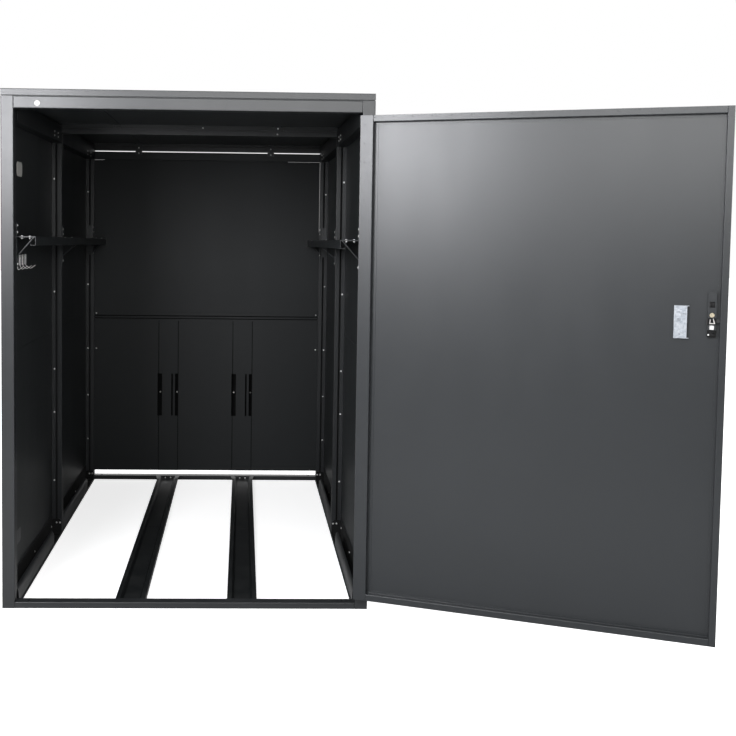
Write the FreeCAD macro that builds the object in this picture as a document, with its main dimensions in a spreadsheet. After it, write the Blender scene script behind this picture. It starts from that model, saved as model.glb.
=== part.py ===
import FreeCAD, Part
import math
import os
import Sketcher
from FreeCAD import Placement, Rotation, Vector

# Bicycle locker for two bicycles, one wide side-hinged door.
# Millimetres. X to the right seen from the front, Y back into the locker, Z up.
# Y = 0 is the front face of the front posts, Z = 0 the ground, X = 0 the middle.

os.makedirs("parts", exist_ok=True)
doc = FreeCAD.newDocument("BicycleLocker")
sheet = doc.addObject("Spreadsheet::Sheet", "Dims")

SIZES = [
    ("overall_width", 1300, "outer width over the posts"),
    ("overall_height", 1830, "top of the roof above the ground"),
    ("overall_depth", 2075, "front face to the back edge of the roof"),
    ("post_size", 45, "side of every square post"),
    ("post_wall", 2, "wall of posts and tubes"),
    ("sheet_gauge", 1.5, "panels"),
    ("cap_edge", 22.5, "height of the roof edge"),
    ("liner_gauge", 3, "roof liner between the frame and the roof cap"),
    ("lintel_face", 42, "height of the lintel"),
    ("sill_height", 22.5, "sill and rear floor beam"),
    ("mid_line", 980, "front face of the middle posts"),
    ("rear_line", 2026, "front face of the rear posts"),
    ("inner_post", 5, "how far the inner posts stand inside the front posts"),
    ("beam_height", 80, "side floor beams"),
    ("rail_low", 1720, "lower edge of the top side rails"),
    ("rail_high", 1795, "upper edge of the top side rails"),
    ("fold_radius", 1.2, "inside radius of folds"),
    ("tube_radius", 3, "outer corner radius of tubes"),
    ("panel_seam", 898, "joint between lower and upper side panels"),
    ("shelf_top", 1320, "top face of the shelves"),
    ("shelf_edge", 538, "inner edge of the shelves from the middle"),
    ("shelf_lip", 32, "depth of the shelf lip"),
    ("shelf_slope", 0.0105, "fall of the shelves towards the back for each unit of length"),
    ("gutter_pitch", 402, "between the two wheel gutters"),
    ("gutter_width", 108, "over the outer edges"),
    ("gutter_height", 20, "wheel gutters"),
    ("mid_beam_low", 1761, "middle roof beam"),
    ("rear_beam_low", 1766.5, "rear roof beam"),
    ("rear_rail_low", 1719, "rear top rail"),
    ("rear_rail_high", 1760, "rear top rail"),
    ("rear_panel_line", 2031, "front face of the rear panels"),
    ("rear_panel_top", 1716.5, "upper rear panel"),
    ("rear_seam_low", 863, "middle rail of the rear wall"),
    ("rear_seam_high", 906, "middle rail of the rear wall"),
    ("rear_panel_low", 51, "bottom of the rear wall"),
    ("channel_half", 52, "half width of the wheel channels between their seams"),
    ("channel_left_x", -202, "middle of the left wheel channel"),
    ("channel_right_x", 195.4, "middle of the right wheel channel"),
    ("door_edge", 600, "hinge edge of the door"),
    ("door_width", 1193, "door leaf"),
    ("door_low", 48.5, "bottom of the door"),
    ("door_high", 1750, "top of the door"),
    ("door_depth", 25, "thickness of the door leaf"),
    ("hinge_axis_x", 603, "door axis"),
    ("hinge_axis_y", -6, "door axis"),
    ("door_open", 157.95, "angle between closed and modelled door"),
    ("hinge_flange", 46, "inner flange of the door on the hinge side"),
    ("lock_flange", 21.5, "inner flange of the door on the lock side"),
    ("end_flange", 23, "inner flange of the door at top and bottom"),
    ("knuckle_radius", 5.5, "hinge knuckles"),
    ("pin_radius", 3, "hinge pins"),
    ("pin_play", 0.05, "running clearance of pins and shafts"),
    ("lock_x", -548, "handle and lock cylinder"),
    ("spindle_z", 1062.5, "handle spindle"),
    ("cylinder_z", 1101.5, "lock cylinder"),
    ("spindle_radius", 9, "handle spindle"),
    ("cylinder_radius", 8.5, "lock cylinder"),
    ("plug_radius", 5.5, "turning plug of the lock cylinder"),
    ("crank_radius", 14, "crank pin from the spindle axis"),
    ("crank_pin_radius", 2, "crank pin"),
    ("lever_pin_y", -11.4, "axis of the lever pin"),
    ("anchor_radius", 6, "ground anchor holes"),
    ("anchor_x", 560, "ground anchor holes from the middle"),
    ("screw_radius", 4.2, "heads of the frame screws"),
    ("screw_height", 2.4, "heads of the frame screws"),
]
for row, (alias, value, note) in enumerate(SIZES, start=1):
    sheet.set("A%d" % row, note)
    sheet.set("B%d" % row, str(value))
    sheet.setAlias("B%d" % row, alias)
doc.recompute()


class Size:
    """A length with its value and the sheet expression that gives it."""

    def __init__(self, value, text):
        self.value = float(value)
        self.text = text

    @staticmethod
    def of(other):
        if isinstance(other, Size):
            return other
        return Size(other, "(%.6f)" % float(other))

    def __add__(self, other):
        other = Size.of(other)
        return Size(self.value + other.value, "(%s + %s)" % (self.text, other.text))

    def __radd__(self, other):
        return Size.of(other) + self

    def __sub__(self, other):
        other = Size.of(other)
        return Size(self.value - other.value, "(%s - %s)" % (self.text, other.text))

    def __rsub__(self, other):
        return Size.of(other) - self

    def __mul__(self, other):
        other = Size.of(other)
        return Size(self.value * other.value, "(%s * %s)" % (self.text, other.text))

    def __rmul__(self, other):
        return Size.of(other) * self

    def __truediv__(self, other):
        other = Size.of(other)
        return Size(self.value / other.value, "(%s / %s)" % (self.text, other.text))

    def __neg__(self):
        return Size(0, "0") - self


def dim(alias):
    return Size(sheet.get(alias), "Dims.%s" % alias)


half = dim("overall_width") / 2
post = dim("post_size")
wall = dim("post_wall")
gauge = dim("sheet_gauge")
front_in = half - post                      # inner face of the front posts
side_in = half - dim("inner_post")          # inner face of the side panels
deep_in = side_in - post                    # inner face of middle and rear posts
frame_top = dim("overall_height") - dim("cap_edge") - dim("liner_gauge")
lintel_low = frame_top - dim("lintel_face")
mid_front = dim("mid_line")
mid_back = mid_front + post
rear_front = dim("rear_line")
rear_back = rear_front + post
fold_in = dim("fold_radius")
fold_out = fold_in + gauge
sill_top = dim("sill_height")

nodes = {}


def keep(name, obj):
    obj.Label = name
    nodes[name] = obj
    return obj


def box(name, x0, x1, y0, y1, z0, z1):
    x0, x1, y0, y1, z0, z1 = [Size.of(v) for v in (x0, x1, y0, y1, z0, z1)]
    obj = doc.addObject("Part::Box", name)
    obj.setExpression("Length", (x1 - x0).text)
    obj.setExpression("Width", (y1 - y0).text)
    obj.setExpression("Height", (z1 - z0).text)
    obj.setExpression("Placement.Base.x", x0.text)
    obj.setExpression("Placement.Base.y", y0.text)
    obj.setExpression("Placement.Base.z", z0.text)
    return obj


TURN = {
    "+Z": Rotation(),
    "+Y": Rotation(Vector(1, 0, 0), -90),
    "-Y": Rotation(Vector(1, 0, 0), 90),
    "+X": Rotation(Vector(0, 1, 0), 90),
    "-X": Rotation(Vector(0, 1, 0), -90),
}


def place(obj, direction, x, y, z):
    x, y, z = Size.of(x), Size.of(y), Size.of(z)
    obj.Placement = Placement(Vector(x.value, y.value, z.value), TURN[direction])
    obj.setExpression("Placement.Base.x", x.text)
    obj.setExpression("Placement.Base.y", y.text)
    obj.setExpression("Placement.Base.z", z.text)
    return obj


def rod(name, direction, x, y, z, radius, length):
    obj = doc.addObject("Part::Cylinder", name)
    obj.setExpression("Radius", Size.of(radius).text)
    obj.setExpression("Height", Size.of(length).text)
    return place(obj, direction, x, y, z)


def stud(name, direction, x, y, z):
    obj = doc.addObject("Part::Cone", name)
    obj.setExpression("Radius1", "Dims.screw_radius")
    obj.setExpression("Radius2", "Dims.screw_radius * 0.62")
    obj.setExpression("Height", "Dims.screw_height")
    return place(obj, direction, x, y, z)


def fuse(name, shapes):
    obj = doc.addObject("Part::MultiFuse", name)
    obj.Shapes = shapes
    obj.Refine = True
    return obj


def group(name, members):
    obj = doc.addObject("Part::Compound", name)
    obj.Links = members
    return obj


def cut(name, base, tools):
    tool = tools[0] if len(tools) == 1 else group(name + "_tools", tools)
    obj = doc.addObject("Part::Cut", name)
    obj.Base = base
    obj.Tool = tool
    return obj


PLANES = {"XY": ("XY_Plane", 0, 1), "XZ": ("XZ_Plane", 0, 2), "YZ": ("YZ_Plane", 1, 2)}


def prism(name, plane, loops, start, length, rounds=()):
    """A straight folded or tubular profile: closed loops in one plane, padded."""
    role, iu, iv = PLANES[plane]
    if isinstance(loops[0], tuple):
        loops = [loops]
    loops = [[(Size.of(u), Size.of(v)) for u, v in loop] for loop in loops]
    start, length = Size.of(start), Size.of(length)
    body = doc.addObject("PartDesign::Body", name)
    sketch = body.newObject("Sketcher::SketchObject", name + "_profile")
    origin = [f for f in body.Origin.OriginFeatures if f.Role == role][0]
    sketch.AttachmentSupport = [(origin, "")]
    sketch.MapMode = "FlatFace"
    # the XZ plane faces forward, so it is offset and padded backwards
    offset = -start if plane == "XZ" else start
    sketch.AttachmentOffset = Placement(Vector(0, 0, offset.value), Rotation())
    sketch.setExpression("AttachmentOffset.Base.z", offset.text)
    first = 0
    for loop in loops:
        count = len(loop)
        lines = []
        for i in range(count):
            a, b = loop[i], loop[(i + 1) % count]
            lines.append(Part.LineSegment(Vector(a[0].value, a[1].value, 0),
                                          Vector(b[0].value, b[1].value, 0)))
        sketch.addGeometry(lines, False)
        joints = [Sketcher.Constraint("Coincident", first + i, 2, first + (i + 1) % count, 1)
                  for i in range(count)]
        sketch.addConstraint(joints)
        for i in range(count):
            for kind, axis, size in (("DistanceX", -2, loop[i][0]), ("DistanceY", -1, loop[i][1])):
                if abs(size.value) < 1e-9:
                    sketch.addConstraint(Sketcher.Constraint("PointOnObject", first + i, 1, axis))
                else:
                    index = sketch.addConstraint(
                        Sketcher.Constraint(kind, -1, 1, first + i, 1, size.value))
                    sketch.setExpression("Constraints[%d]" % index, size.text)
        first += count
    pad = body.newObject("PartDesign::Pad", name + "_pad")
    pad.Profile = sketch
    pad.setExpression("Length", length.text)
    pad.Reversed = plane == "XZ"
    body.Tip = pad
    doc.recompute()
    last = pad
    radii = {}
    for (loop_index, vertex_index), radius in rounds:
        radius = Size.of(radius)
        radii.setdefault(radius.text, (radius, []))[1].append(loops[loop_index][vertex_index])
    for number, (radius, corners) in enumerate(radii.values()):
        edges = []
        for index, edge in enumerate(last.Shape.Edges, start=1):
            ends = [(p.Point[iu], p.Point[iv]) for p in edge.Vertexes]
            for u, v in corners:
                if len(ends) == 2 and all(abs(e[0] - u.value) < 1e-4 and abs(e[1] - v.value) < 1e-4
                                          for e in ends):
                    edges.append("Edge%d" % index)
        assert len(edges) == len(corners), (name, len(edges), len(corners))
        rounding = body.newObject("PartDesign::Fillet", "%s_round%d" % (name, number))
        rounding.Base = (last, edges)
        rounding.setExpression("Radius", radius.text)
        body.Tip = rounding
        doc.recompute()
        if rounding.Shape.isNull() or not rounding.Shape.isValid():
            raise RuntimeError("rounding failed: %s radius %s edges %s state %s" % (name, radius.value, edges, rounding.State))
        last = rounding
    return body


def fold(points, thick):
    """Outline of a folded strip along an axis-aligned line, thickness to its left."""
    points = [(Size.of(u), Size.of(v)) for u, v in points]
    thick = Size.of(thick)
    normals = []
    for a, b in zip(points, points[1:]):
        du, dv = b[0].value - a[0].value, b[1].value - a[1].value
        length = math.hypot(du, dv)
        normals.append((-dv / length, du / length))
    other = []
    turns = []
    for i, (u, v) in enumerate(points):
        before = normals[i - 1] if i > 0 else (0.0, 0.0)
        after = normals[i] if i < len(normals) else (0.0, 0.0)
        nu, nv = round(before[0] + after[0], 6), round(before[1] + after[1], 6)
        if i not in (0, len(points) - 1):
            turn = before[0] * after[1] - before[1] * after[0]
            turns.append((i, turn if thick.value > 0 else -turn))
        other.append((u + thick * nu, v + thick * nv))
    outline = points + other[::-1]
    total = len(outline)
    rounds = []
    for i, turn in turns:
        # turning towards the thickness leaves the outer corner on the given line
        near, far = (0, i), (0, total - 1 - i)
        if turn > 0:
            rounds += [(near, fold_out), (far, fold_in)]
        else:
            rounds += [(near, fold_in), (far, fold_out)]
    return outline, rounds


def folded(name, plane, points, thick, start, length, rounded=True):
    outline, rounds = fold(points, thick)
    return prism(name, plane, outline, start, length, rounds if rounded else ())


def tube(name, plane, u0, u1, v0, v1, start, length):
    outer = [(u0, v0), (u1, v0), (u1, v1), (u0, v1)]
    inner = [(u0 + wall, v0 + wall), (u1 - wall, v0 + wall), (u1 - wall, v1 - wall), (u0 + wall, v1 - wall)]
    rounds = [((0, i), dim("tube_radius")) for i in range(4)]
    rounds += [((1, i), dim("tube_radius") - wall) for i in range(4)]
    return prism(name, plane, [outer, inner], start, length, rounds)


def both(u0, u1, sign):
    """Two sizes measured from the middle, put on the left (-1) or right (+1) in rising order."""
    u0, u1 = Size.of(u0), Size.of(u1)
    return (u0, u1) if sign > 0 else (-u1, -u0)


SIDES = (("left", -1), ("right", 1))

# ---------------------------------------------------------------- front frame
# The latch bolt reaches into a slot in the inner face of the left post.
x0, x1 = both(front_in, half, -1)
left_tube = tube("front_post_left_tube", "XY", x0, x1, Size.of(0), post, 0, frame_top)
latch_slot = box("latch_slot", x1 - wall - 0.5, x1 + 0.5, 11, 18, 1072, 1095)
keep("front_post_left", cut("front_post_left", left_tube, [latch_slot]))
x0, x1 = both(front_in, half, 1)
keep("front_post_right", tube("front_post_right", "XY", x0, x1, Size.of(0), post, 0, frame_top))

lintel = tube("lintel_tube", "YZ", Size.of(0), post, lintel_low, frame_top, -front_in, front_in * 2)
plug_hole = rod("lintel_plug_hole", "+Y", -523.4, -1, 1780, 8.1, 6)
joints = [box("lintel_joint_%s" % s, *both(front_in - 1.2, front_in + 1, k), -1, 1.8, lintel_low - 1, frame_top + 1)
          for s, k in (("left", -1), ("right", 1))]
keep("front_lintel", cut("front_lintel", lintel, [plug_hole] + joints))

# The sill has a shallow step along its face and two anchor holes.
sill_rim = [(0, sill_top), (0, 17.5), (1, 16.6), (1, 0), (post, 0), (post, sill_top)]
sill_bore = [(3, sill_top - wall), (3, wall), (post - wall, wall), (post - wall, sill_top - wall)]
sill_body = prism("sill_body", "YZ", [sill_rim, sill_bore], -front_in, front_in * 2,
                  [((0, 0), Size.of(2.5)), ((0, 5), Size.of(2.5))])
holes = [rod("sill_anchor_%s" % s, "+Z", dim("anchor_x") * k, post / 2, -1, dim("anchor_radius"), sill_top + 2)
         for s, k in SIDES]
holes += [box("sill_joint_%s" % s, *both(front_in - 1.2, front_in + 1, k), -1, 2.2, -1, sill_top + 1) for s, k in SIDES]
keep("front_sill", cut("front_sill", sill_body, holes))

# ---------------------------------------------------------------- roof
cap_low = dim("overall_height") - dim("cap_edge")
outer = prism("roof_cap_block", "YZ",
              [(0, cap_low), (dim("overall_depth"), cap_low),
               (dim("overall_depth"), dim("overall_height")), (0, dim("overall_height"))],
              -half, half * 2,
              [((0, 2), fold_out), ((0, 3), fold_out)])
hollow = box("roof_cap_hollow", gauge - half, half - gauge, gauge, dim("overall_depth") - gauge,
             cap_low + gauge, dim("overall_height") - gauge)
mouth = box("roof_cap_mouth", 20 - half, half - 20, 20, dim("overall_depth") - 20, cap_low - 1, cap_low + gauge + 1)
keep("roof_cap", cut("roof_cap", outer, [fuse("roof_cap_void", [hollow, mouth])]))
keep("roof_liner", group("roof_liner", [
    box("roof_liner_sheet", 5 - half, half - 5, 6, dim("overall_depth") - 6, frame_top, cap_low)]))

bays = (("front", post, mid_front), ("rear", mid_back, rear_front))
lengths = []
for s, k in SIDES:
    for bay, y0, y1 in bays:
        u0, u1 = (-377, -347) if k < 0 else (322, 352)
        lengths.append(box("roof_stringer_%s_%s" % (s, bay), u0, u1, y0, y1, frame_top - 3, frame_top))
keep("roof_stringers", group("roof_stringers", lengths))

# Beams across the roof: a tube with a deep groove along its front face.
def roof_beam(name, y0, low, groove_low, groove_high):
    y1 = y0 + post
    rim = [(y0, low), (y1, low), (y1, frame_top), (y0, frame_top), (y0, groove_high), (y0 + 6, groove_high),
           (y0 + 6, groove_low), (y0, groove_low)]
    bore = [(y0 + 8.5, low + wall), (y1 - wall, low + wall), (y1 - wall, frame_top - wall), (y0 + 8.5, frame_top - wall)]
    return prism(name, "YZ", [rim, bore], -deep_in, deep_in * 2, [((0, 0), Size.of(2.5)), ((0, 1), Size.of(2.5))])


# The upper strip of the middle beam is notched on both sides of each bracket.
slots = [box("beam_notch_%d" % i, x, x + 3.5, mid_front - 1, mid_front + 5, 1786, frame_top - 1)
         for i, x in enumerate((-375.5, -342, 318.5, 359))]
keep("mid_roof_beam", cut("mid_roof_beam", roof_beam("mid_roof_beam_tube", mid_front, dim("mid_beam_low"), 1778, 1786), slots))
keep("rear_roof_beam", roof_beam("rear_roof_beam", rear_front, dim("rear_beam_low"), 1789, 1794))

# ---------------------------------------------------------------- posts, rails, floor beams
for s, k in SIDES:
    for row, y0 in (("mid", mid_front), ("rear", rear_front)):
        # a square post with an upright groove in its front face and a rebate beside the wall
        outline = [(deep_in, y0), (deep_in + 19, y0), (deep_in + 19, y0 + 12), (deep_in + 27.5, y0 + 12),
                   (deep_in + 27.5, y0), (deep_in + 44, y0), (deep_in + 44, y0 + 12), (side_in, y0 + 12),
                   (side_in, y0 + post), (deep_in, y0 + post)]
        bore = [(deep_in + wall, y0 + 14), (side_in - wall, y0 + 14), (side_in - wall, y0 + post - wall),
                (deep_in + wall, y0 + post - wall)]
        if k < 0:
            outline = [(-u, v) for u, v in outline]
            bore = [(-u, v) for u, v in bore]
        keep("%s_post_%s" % (row, s), prism("%s_post_%s" % (row, s), "XY", [outline, bore], 0, frame_top,
             [((0, 0), Size.of(2.5)), ((0, 9), Size.of(2.5))]))

    rails, beams = [], []
    for bay, y0, y1 in bays:
        # top side rail: a channel open to the outside, closed by the side panel
        low, high = dim("rail_low"), dim("rail_high")
        pts = [(side_in * k, high), (deep_in * k, high), (deep_in * k, low), (side_in * k, low)]
        if k < 0:
            pts = pts[::-1]
        rails.append(folded("top_rail_%s_%s" % (s, bay), "XZ", pts, gauge, y0, y1 - y0))
        # floor beam: a trough open at the top, with a foot along its inner face; the rolled inner
        # flange stops short of the post behind it
        high = dim("beam_height")
        a, b = deep_in, side_in
        base = [(b, 0), (b, high), (b - gauge, high), (b - gauge, gauge), (a + gauge, gauge), (a + gauge, 6), (a, 6),
                (a, 3), (a - 4, 3), (a - 4, 0)]
        flange = [(a, 6), (a + gauge, 6), (a + gauge, 36), (a + 2.3, 44.8), (a + 4.3, 51.9), (a + 7.4, 57.4),
                  (a + 10.8, 60.6), (a + 13, 61.5), (a + 13, 63), (a + 10.2, 62), (a + 6.2, 58.4), (a + 2.9, 52.5),
                  (a + 0.8, 45), (a, 36)]
        if k < 0:
            base = [(-u, v) for u, v in base]
            flange = [(-u, v) for u, v in flange]
        stop = 785 if bay == "front" else 1790
        tag = "%s_%s" % (s, bay)
        trough = prism("floor_beam_base_" + tag, "XZ", base, y0, y1 - y0, [((0, 8), Size.of(1))])
        upstand = prism("floor_beam_flange_" + tag, "XZ", flange, y0, stop - y0)
        pieces = [trough, upstand]
        if bay == "front":
            x0, x1 = both(a - 4, a, k)
            pieces.append(box("floor_beam_foot_" + tag, x0, x1, mid_front - 1, mid_back + 1, 0, 3))
        eye = rod("floor_beam_eye_" + tag, "+X", (a + 1) * k - 6, y0 + 378, 56.2, 3, 12)
        beams.append(cut("floor_beam_" + tag, fuse("floor_beam_whole_" + tag, pieces), [eye]))
    keep("top_rail_%s" % s, group("top_rail_%s" % s, rails))
    keep("floor_beam_%s" % s, group("floor_beam_%s" % s, beams))

rear_rim = [(rear_front, 0), (rear_back, 0), (rear_back, sill_top), (rear_front, sill_top)]
rear_bore = [(rear_front + wall, wall), (rear_back - wall, wall), (rear_back - wall, sill_top - wall),
             (rear_front + wall, sill_top - wall)]
rear_body = prism("rear_floor_tube", "YZ", [rear_rim, rear_bore], -deep_in, deep_in * 2,
                  [((0, i), Size.of(2.5)) for i in range(4)])
holes = [rod("rear_anchor_%s" % s, "+Z", dim("anchor_x") * k, rear_front + post / 2, -1, dim("anchor_radius"),
             sill_top + 2) for s, k in SIDES]
keep("rear_floor_beam", cut("rear_floor_beam", rear_body, holes))

# Angle brackets in the troughs, screwed to the front faces of the middle and rear posts.
plates = []
for s, k in SIDES:
    for row, y0, top in (("mid", mid_front, 62), ("rear", rear_front, 48)):
        u0, u1 = both(deep_in + gauge + 0.2, side_in - 3, k)
        riser = prism("floor_bracket_riser_%s_%s" % (row, s), "XZ", [(u0, gauge), (u1, gauge), (u1, top), (u0, top)],
                      y0 - 2.5, 2.5, [((0, 2), Size.of(7)), ((0, 3), Size.of(7))])
        foot = box("floor_bracket_foot_%s_%s" % (row, s), u0, u1, y0 - 42, y0 - 2, gauge, gauge + 2.5)
        plates.append(fuse("floor_bracket_%s_%s" % (row, s), [riser, foot]))
keep("floor_brackets", group("floor_brackets", plates))

# Brackets where the roof lengths meet the beams.
keep("roof_brackets", group("roof_brackets", [
    box("beam_plate_mid_left", -372, -342, mid_front - 2, mid_front, 1786.5, frame_top - 3.5),
    box("beam_plate_mid_right", 322, 359, mid_front - 2, mid_front, 1785, frame_top - 3.5),
    box("beam_plate_rear_left", -382, -347, rear_front - 2, rear_front, 1745, 1800),
    box("beam_plate_rear_right", 318, 353, rear_front - 2, rear_front, 1745, 1800)]))

# ---------------------------------------------------------------- side panels
seam = dim("panel_seam")
lap = 14
for s, k in SIDES:
    for bay, y0, y1 in (("front", post, mid_front + post / 2), ("rear", mid_front + post / 2 + 0.6, rear_back)):
        a, b, c = side_in, side_in + gauge, side_in + gauge * 2
        lower = [(a, 2), (b, 2), (b, seam - 2), (c, seam - 2), (c, seam + lap), (b, seam + lap),
                 (b, seam), (a, seam - 2)]
        upper = [(a, seam + 2), (b, seam + 2), (b, frame_top), (a, frame_top)]
        if k < 0:
            lower = [(-u, v) for u, v in lower]
            upper = [(-u, v) for u, v in upper]
        low_name = "side_panel_%s_%s_lower" % (s, bay)
        high_name = "side_panel_%s_%s_upper" % (s, bay)
        if s == "left" and bay == "front":
            # two oblong cable entries behind the front post
            low_sheet = prism(low_name + "_sheet", "XZ", lower, y0, y1 - y0)
            high_sheet = prism(high_name + "_sheet", "XZ", upper, y0, y1 - y0)
            ring = [((0, i), Size.of(14)) for i in range(4)]
            entry_low = prism("cable_entry_low", "YZ", [(205, 165), (300, 165), (300, 211), (205, 211)],
                              -side_in - 5, 10, ring)
            entry_high = prism("cable_entry_high", "YZ", [(252, 1545), (340, 1545), (340, 1591), (252, 1591)],
                               -side_in - 5, 10, ring)
            keep(low_name, cut(low_name, low_sheet, [entry_low]))
            keep(high_name, cut(high_name, high_sheet, [entry_high]))
        else:
            keep(low_name, prism(low_name, "XZ", lower, y0, y1 - y0))
            keep(high_name, prism(high_name, "XZ", upper, y0, y1 - y0))

# Plugs: a round one in the lintel and two oblong ones in the cable entries.
ring = [((0, i), Size.of(15)) for i in range(4)]
small = [((0, i), Size.of(13.8)) for i in range(4)]
plug_face = rod("lintel_plug_face", "+Y", -523.4, -1.5, 1780, 10, 1.5)
plug_stem = rod("lintel_plug_stem", "+Y", -523.4, 0, 1780, 8, 5)
covers = [fuse("lintel_plug", [plug_face, plug_stem])]
for tag, y0, y1, z0, z1 in (("low", 205, 300, 165, 211), ("high", 252, 340, 1545, 1591)):
    face = prism("entry_plug_face_%s" % tag, "YZ",
                 [(y0 - 4, z0 - 4), (y1 + 4, z0 - 4), (y1 + 4, z1 + 4), (y0 - 4, z1 + 4)],
                 -side_in, 1.2, ring)
    stem = prism("entry_plug_stem_%s" % tag, "YZ",
                 [(y0 + 0.3, z0 + 0.3), (y1 - 0.3, z0 + 0.3), (y1 - 0.3, z1 - 0.3), (y0 + 0.3, z1 - 0.3)],
                 -side_in - gauge, gauge, small)
    covers.append(fuse("entry_plug_%s" % tag, [face, stem]))
keep("blanking_plugs", group("blanking_plugs", covers))

# ---------------------------------------------------------------- rear wall
panel_y = dim("rear_panel_line")
rail_low, rail_high = dim("rear_rail_low"), dim("rear_rail_high")
keep("rear_top_rail", prism("rear_top_rail", "YZ",
     [[(rear_front, rail_low), (rear_back, rail_low), (rear_back, rail_high), (rear_front, rail_high)],
      [(rear_front + wall, rail_low + wall), (rear_back - wall, rail_low + wall),
       (rear_back - wall, rail_high - wall), (rear_front + wall, rail_high - wall)]],
     -deep_in, deep_in * 2, [((0, i), Size.of(2.5)) for i in range(4)]))

panel_top = dim("rear_panel_top")
seam_low, seam_high = dim("rear_seam_low"), dim("rear_seam_high")
upper = folded("rear_upper_sheet", "YZ",
               [(panel_y, seam_high + 1), (panel_y, panel_top), (panel_y + 30, panel_top)],
               -gauge, -deep_in, deep_in * 2)
# a narrow light gap down the upper right edge, and one under the top rail at both ends
notch = box("rear_notch_right", deep_in - 1.8, deep_in + 1, panel_y - 1, panel_y + 40, 1345, panel_top + 1)
tongue = box("rear_panel_tongue", -546, 428, panel_y, panel_y + gauge, panel_top - gauge, rail_low)
keep("rear_upper_panel", fuse("rear_upper_panel", [cut("rear_upper_cut", upper, [notch]), tongue]))

# middle rail: a folded strip standing out between two deep grooves
z0, z1 = seam_low, seam_high
rail_line = [(panel_y, z0), (panel_y, z0 + 9), (panel_y + 10, z0 + 9), (panel_y + 10, z0 + 14), (panel_y - 3, z0 + 14),
             (panel_y - 3, z0 + 23), (panel_y + 10, z0 + 23), (panel_y + 10, z0 + 28), (panel_y, z0 + 28), (panel_y, z1)]
rail_sheet = folded("rear_mid_rail_sheet", "YZ", rail_line, -gauge, -deep_in, deep_in * 2, False)
rail_tab = box("rear_mid_rail_tab", -deep_in, deep_in, panel_y + gauge, panel_y + gauge * 2, z1 - 8, z1 + 10)
keep("rear_mid_rail", fuse("rear_mid_rail", [rail_sheet, rail_tab]))

low = dim("rear_panel_low")
c_half = dim("channel_half")
centre = dim("gutter_pitch") / 2
column = {"left": dim("channel_left_x"), "right": dim("channel_right_x")}
slot_z0, slot_z1 = 349, 577
# shadow gaps between the panels and the channel faces; the outer slot runs on into the panel
fields = (("left", -deep_in, column["left"] - c_half - 1.9, (("left", -1),)),
          ("centre", column["left"] + c_half + 1.9, column["right"] - c_half - 1.9, (("left", 1), ("right", -1))),
          ("right", column["right"] + c_half + 1.9, deep_in, (("right", 1),)))
sheets = []
for tag, x0, x1, beside in fields:
    sheet_piece = folded("rear_lower_%s" % tag, "YZ",
                         [(panel_y + 18, low), (panel_y, low), (panel_y, seam_low)],
                         -gauge, x0, x1 - x0)
    # the bottom fold stops short of the channel's box, and the outer slot bites into the panel
    tools = []
    for near, f in beside:
        u0, u1 = both(50, 61, f)
        tools.append(box("rear_lower_relief_%s_%s" % (tag, near), column[near] + u0, column[near] + u1,
                         panel_y + gauge + 0.05, panel_y + 20, low - 2, low + 8))
        if f < 0:
            tools.append(box("rear_lower_bite_%s" % tag, column[near] - 57.8, column[near] - 50, panel_y - 1,
                             panel_y + gauge + 1, slot_z0, slot_z1))
    sheet_piece = cut("rear_lower_cut_%s" % tag, sheet_piece, tools)
    sheets.append(sheet_piece)
keep("rear_lower_panels", group("rear_lower_panels", sheets))

for s, k in SIDES:
    c = column[s]
    # closed box behind the panels, its face standing forward between them, with three upright slots
    line_y = panel_y + gauge + 0.1
    shell = prism("wheel_channel_%s_shell" % s, "XY",
                  [[(c - 60, line_y), (c - c_half + 1.6, line_y), (c - c_half + 1.6, panel_y),
                    (c + c_half - 1.6, panel_y), (c + c_half - 1.6, line_y), (c + 60, line_y),
                    (c + 60, rear_back), (c - 60, rear_back)],
                   [(c - 60 + gauge, line_y + gauge), (c + 60 - gauge, line_y + gauge),
                    (c + 60 - gauge, rear_back - gauge), (c - 60 + gauge, rear_back - gauge)]],
                  low, seam_low - low)
    tools = [box("channel_slot_%s_%s" % (mark, s), c + u0, c + u1, panel_y - 1, panel_y + 5, slot_z0, slot_z1)
             for mark, u0, u1 in (("a", -57.8, -33.7), ("b", 16, 24), ("c", 36, 54))]
    keep("wheel_channel_%s" % s, cut("wheel_channel_%s" % s, shell, tools))

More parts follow.
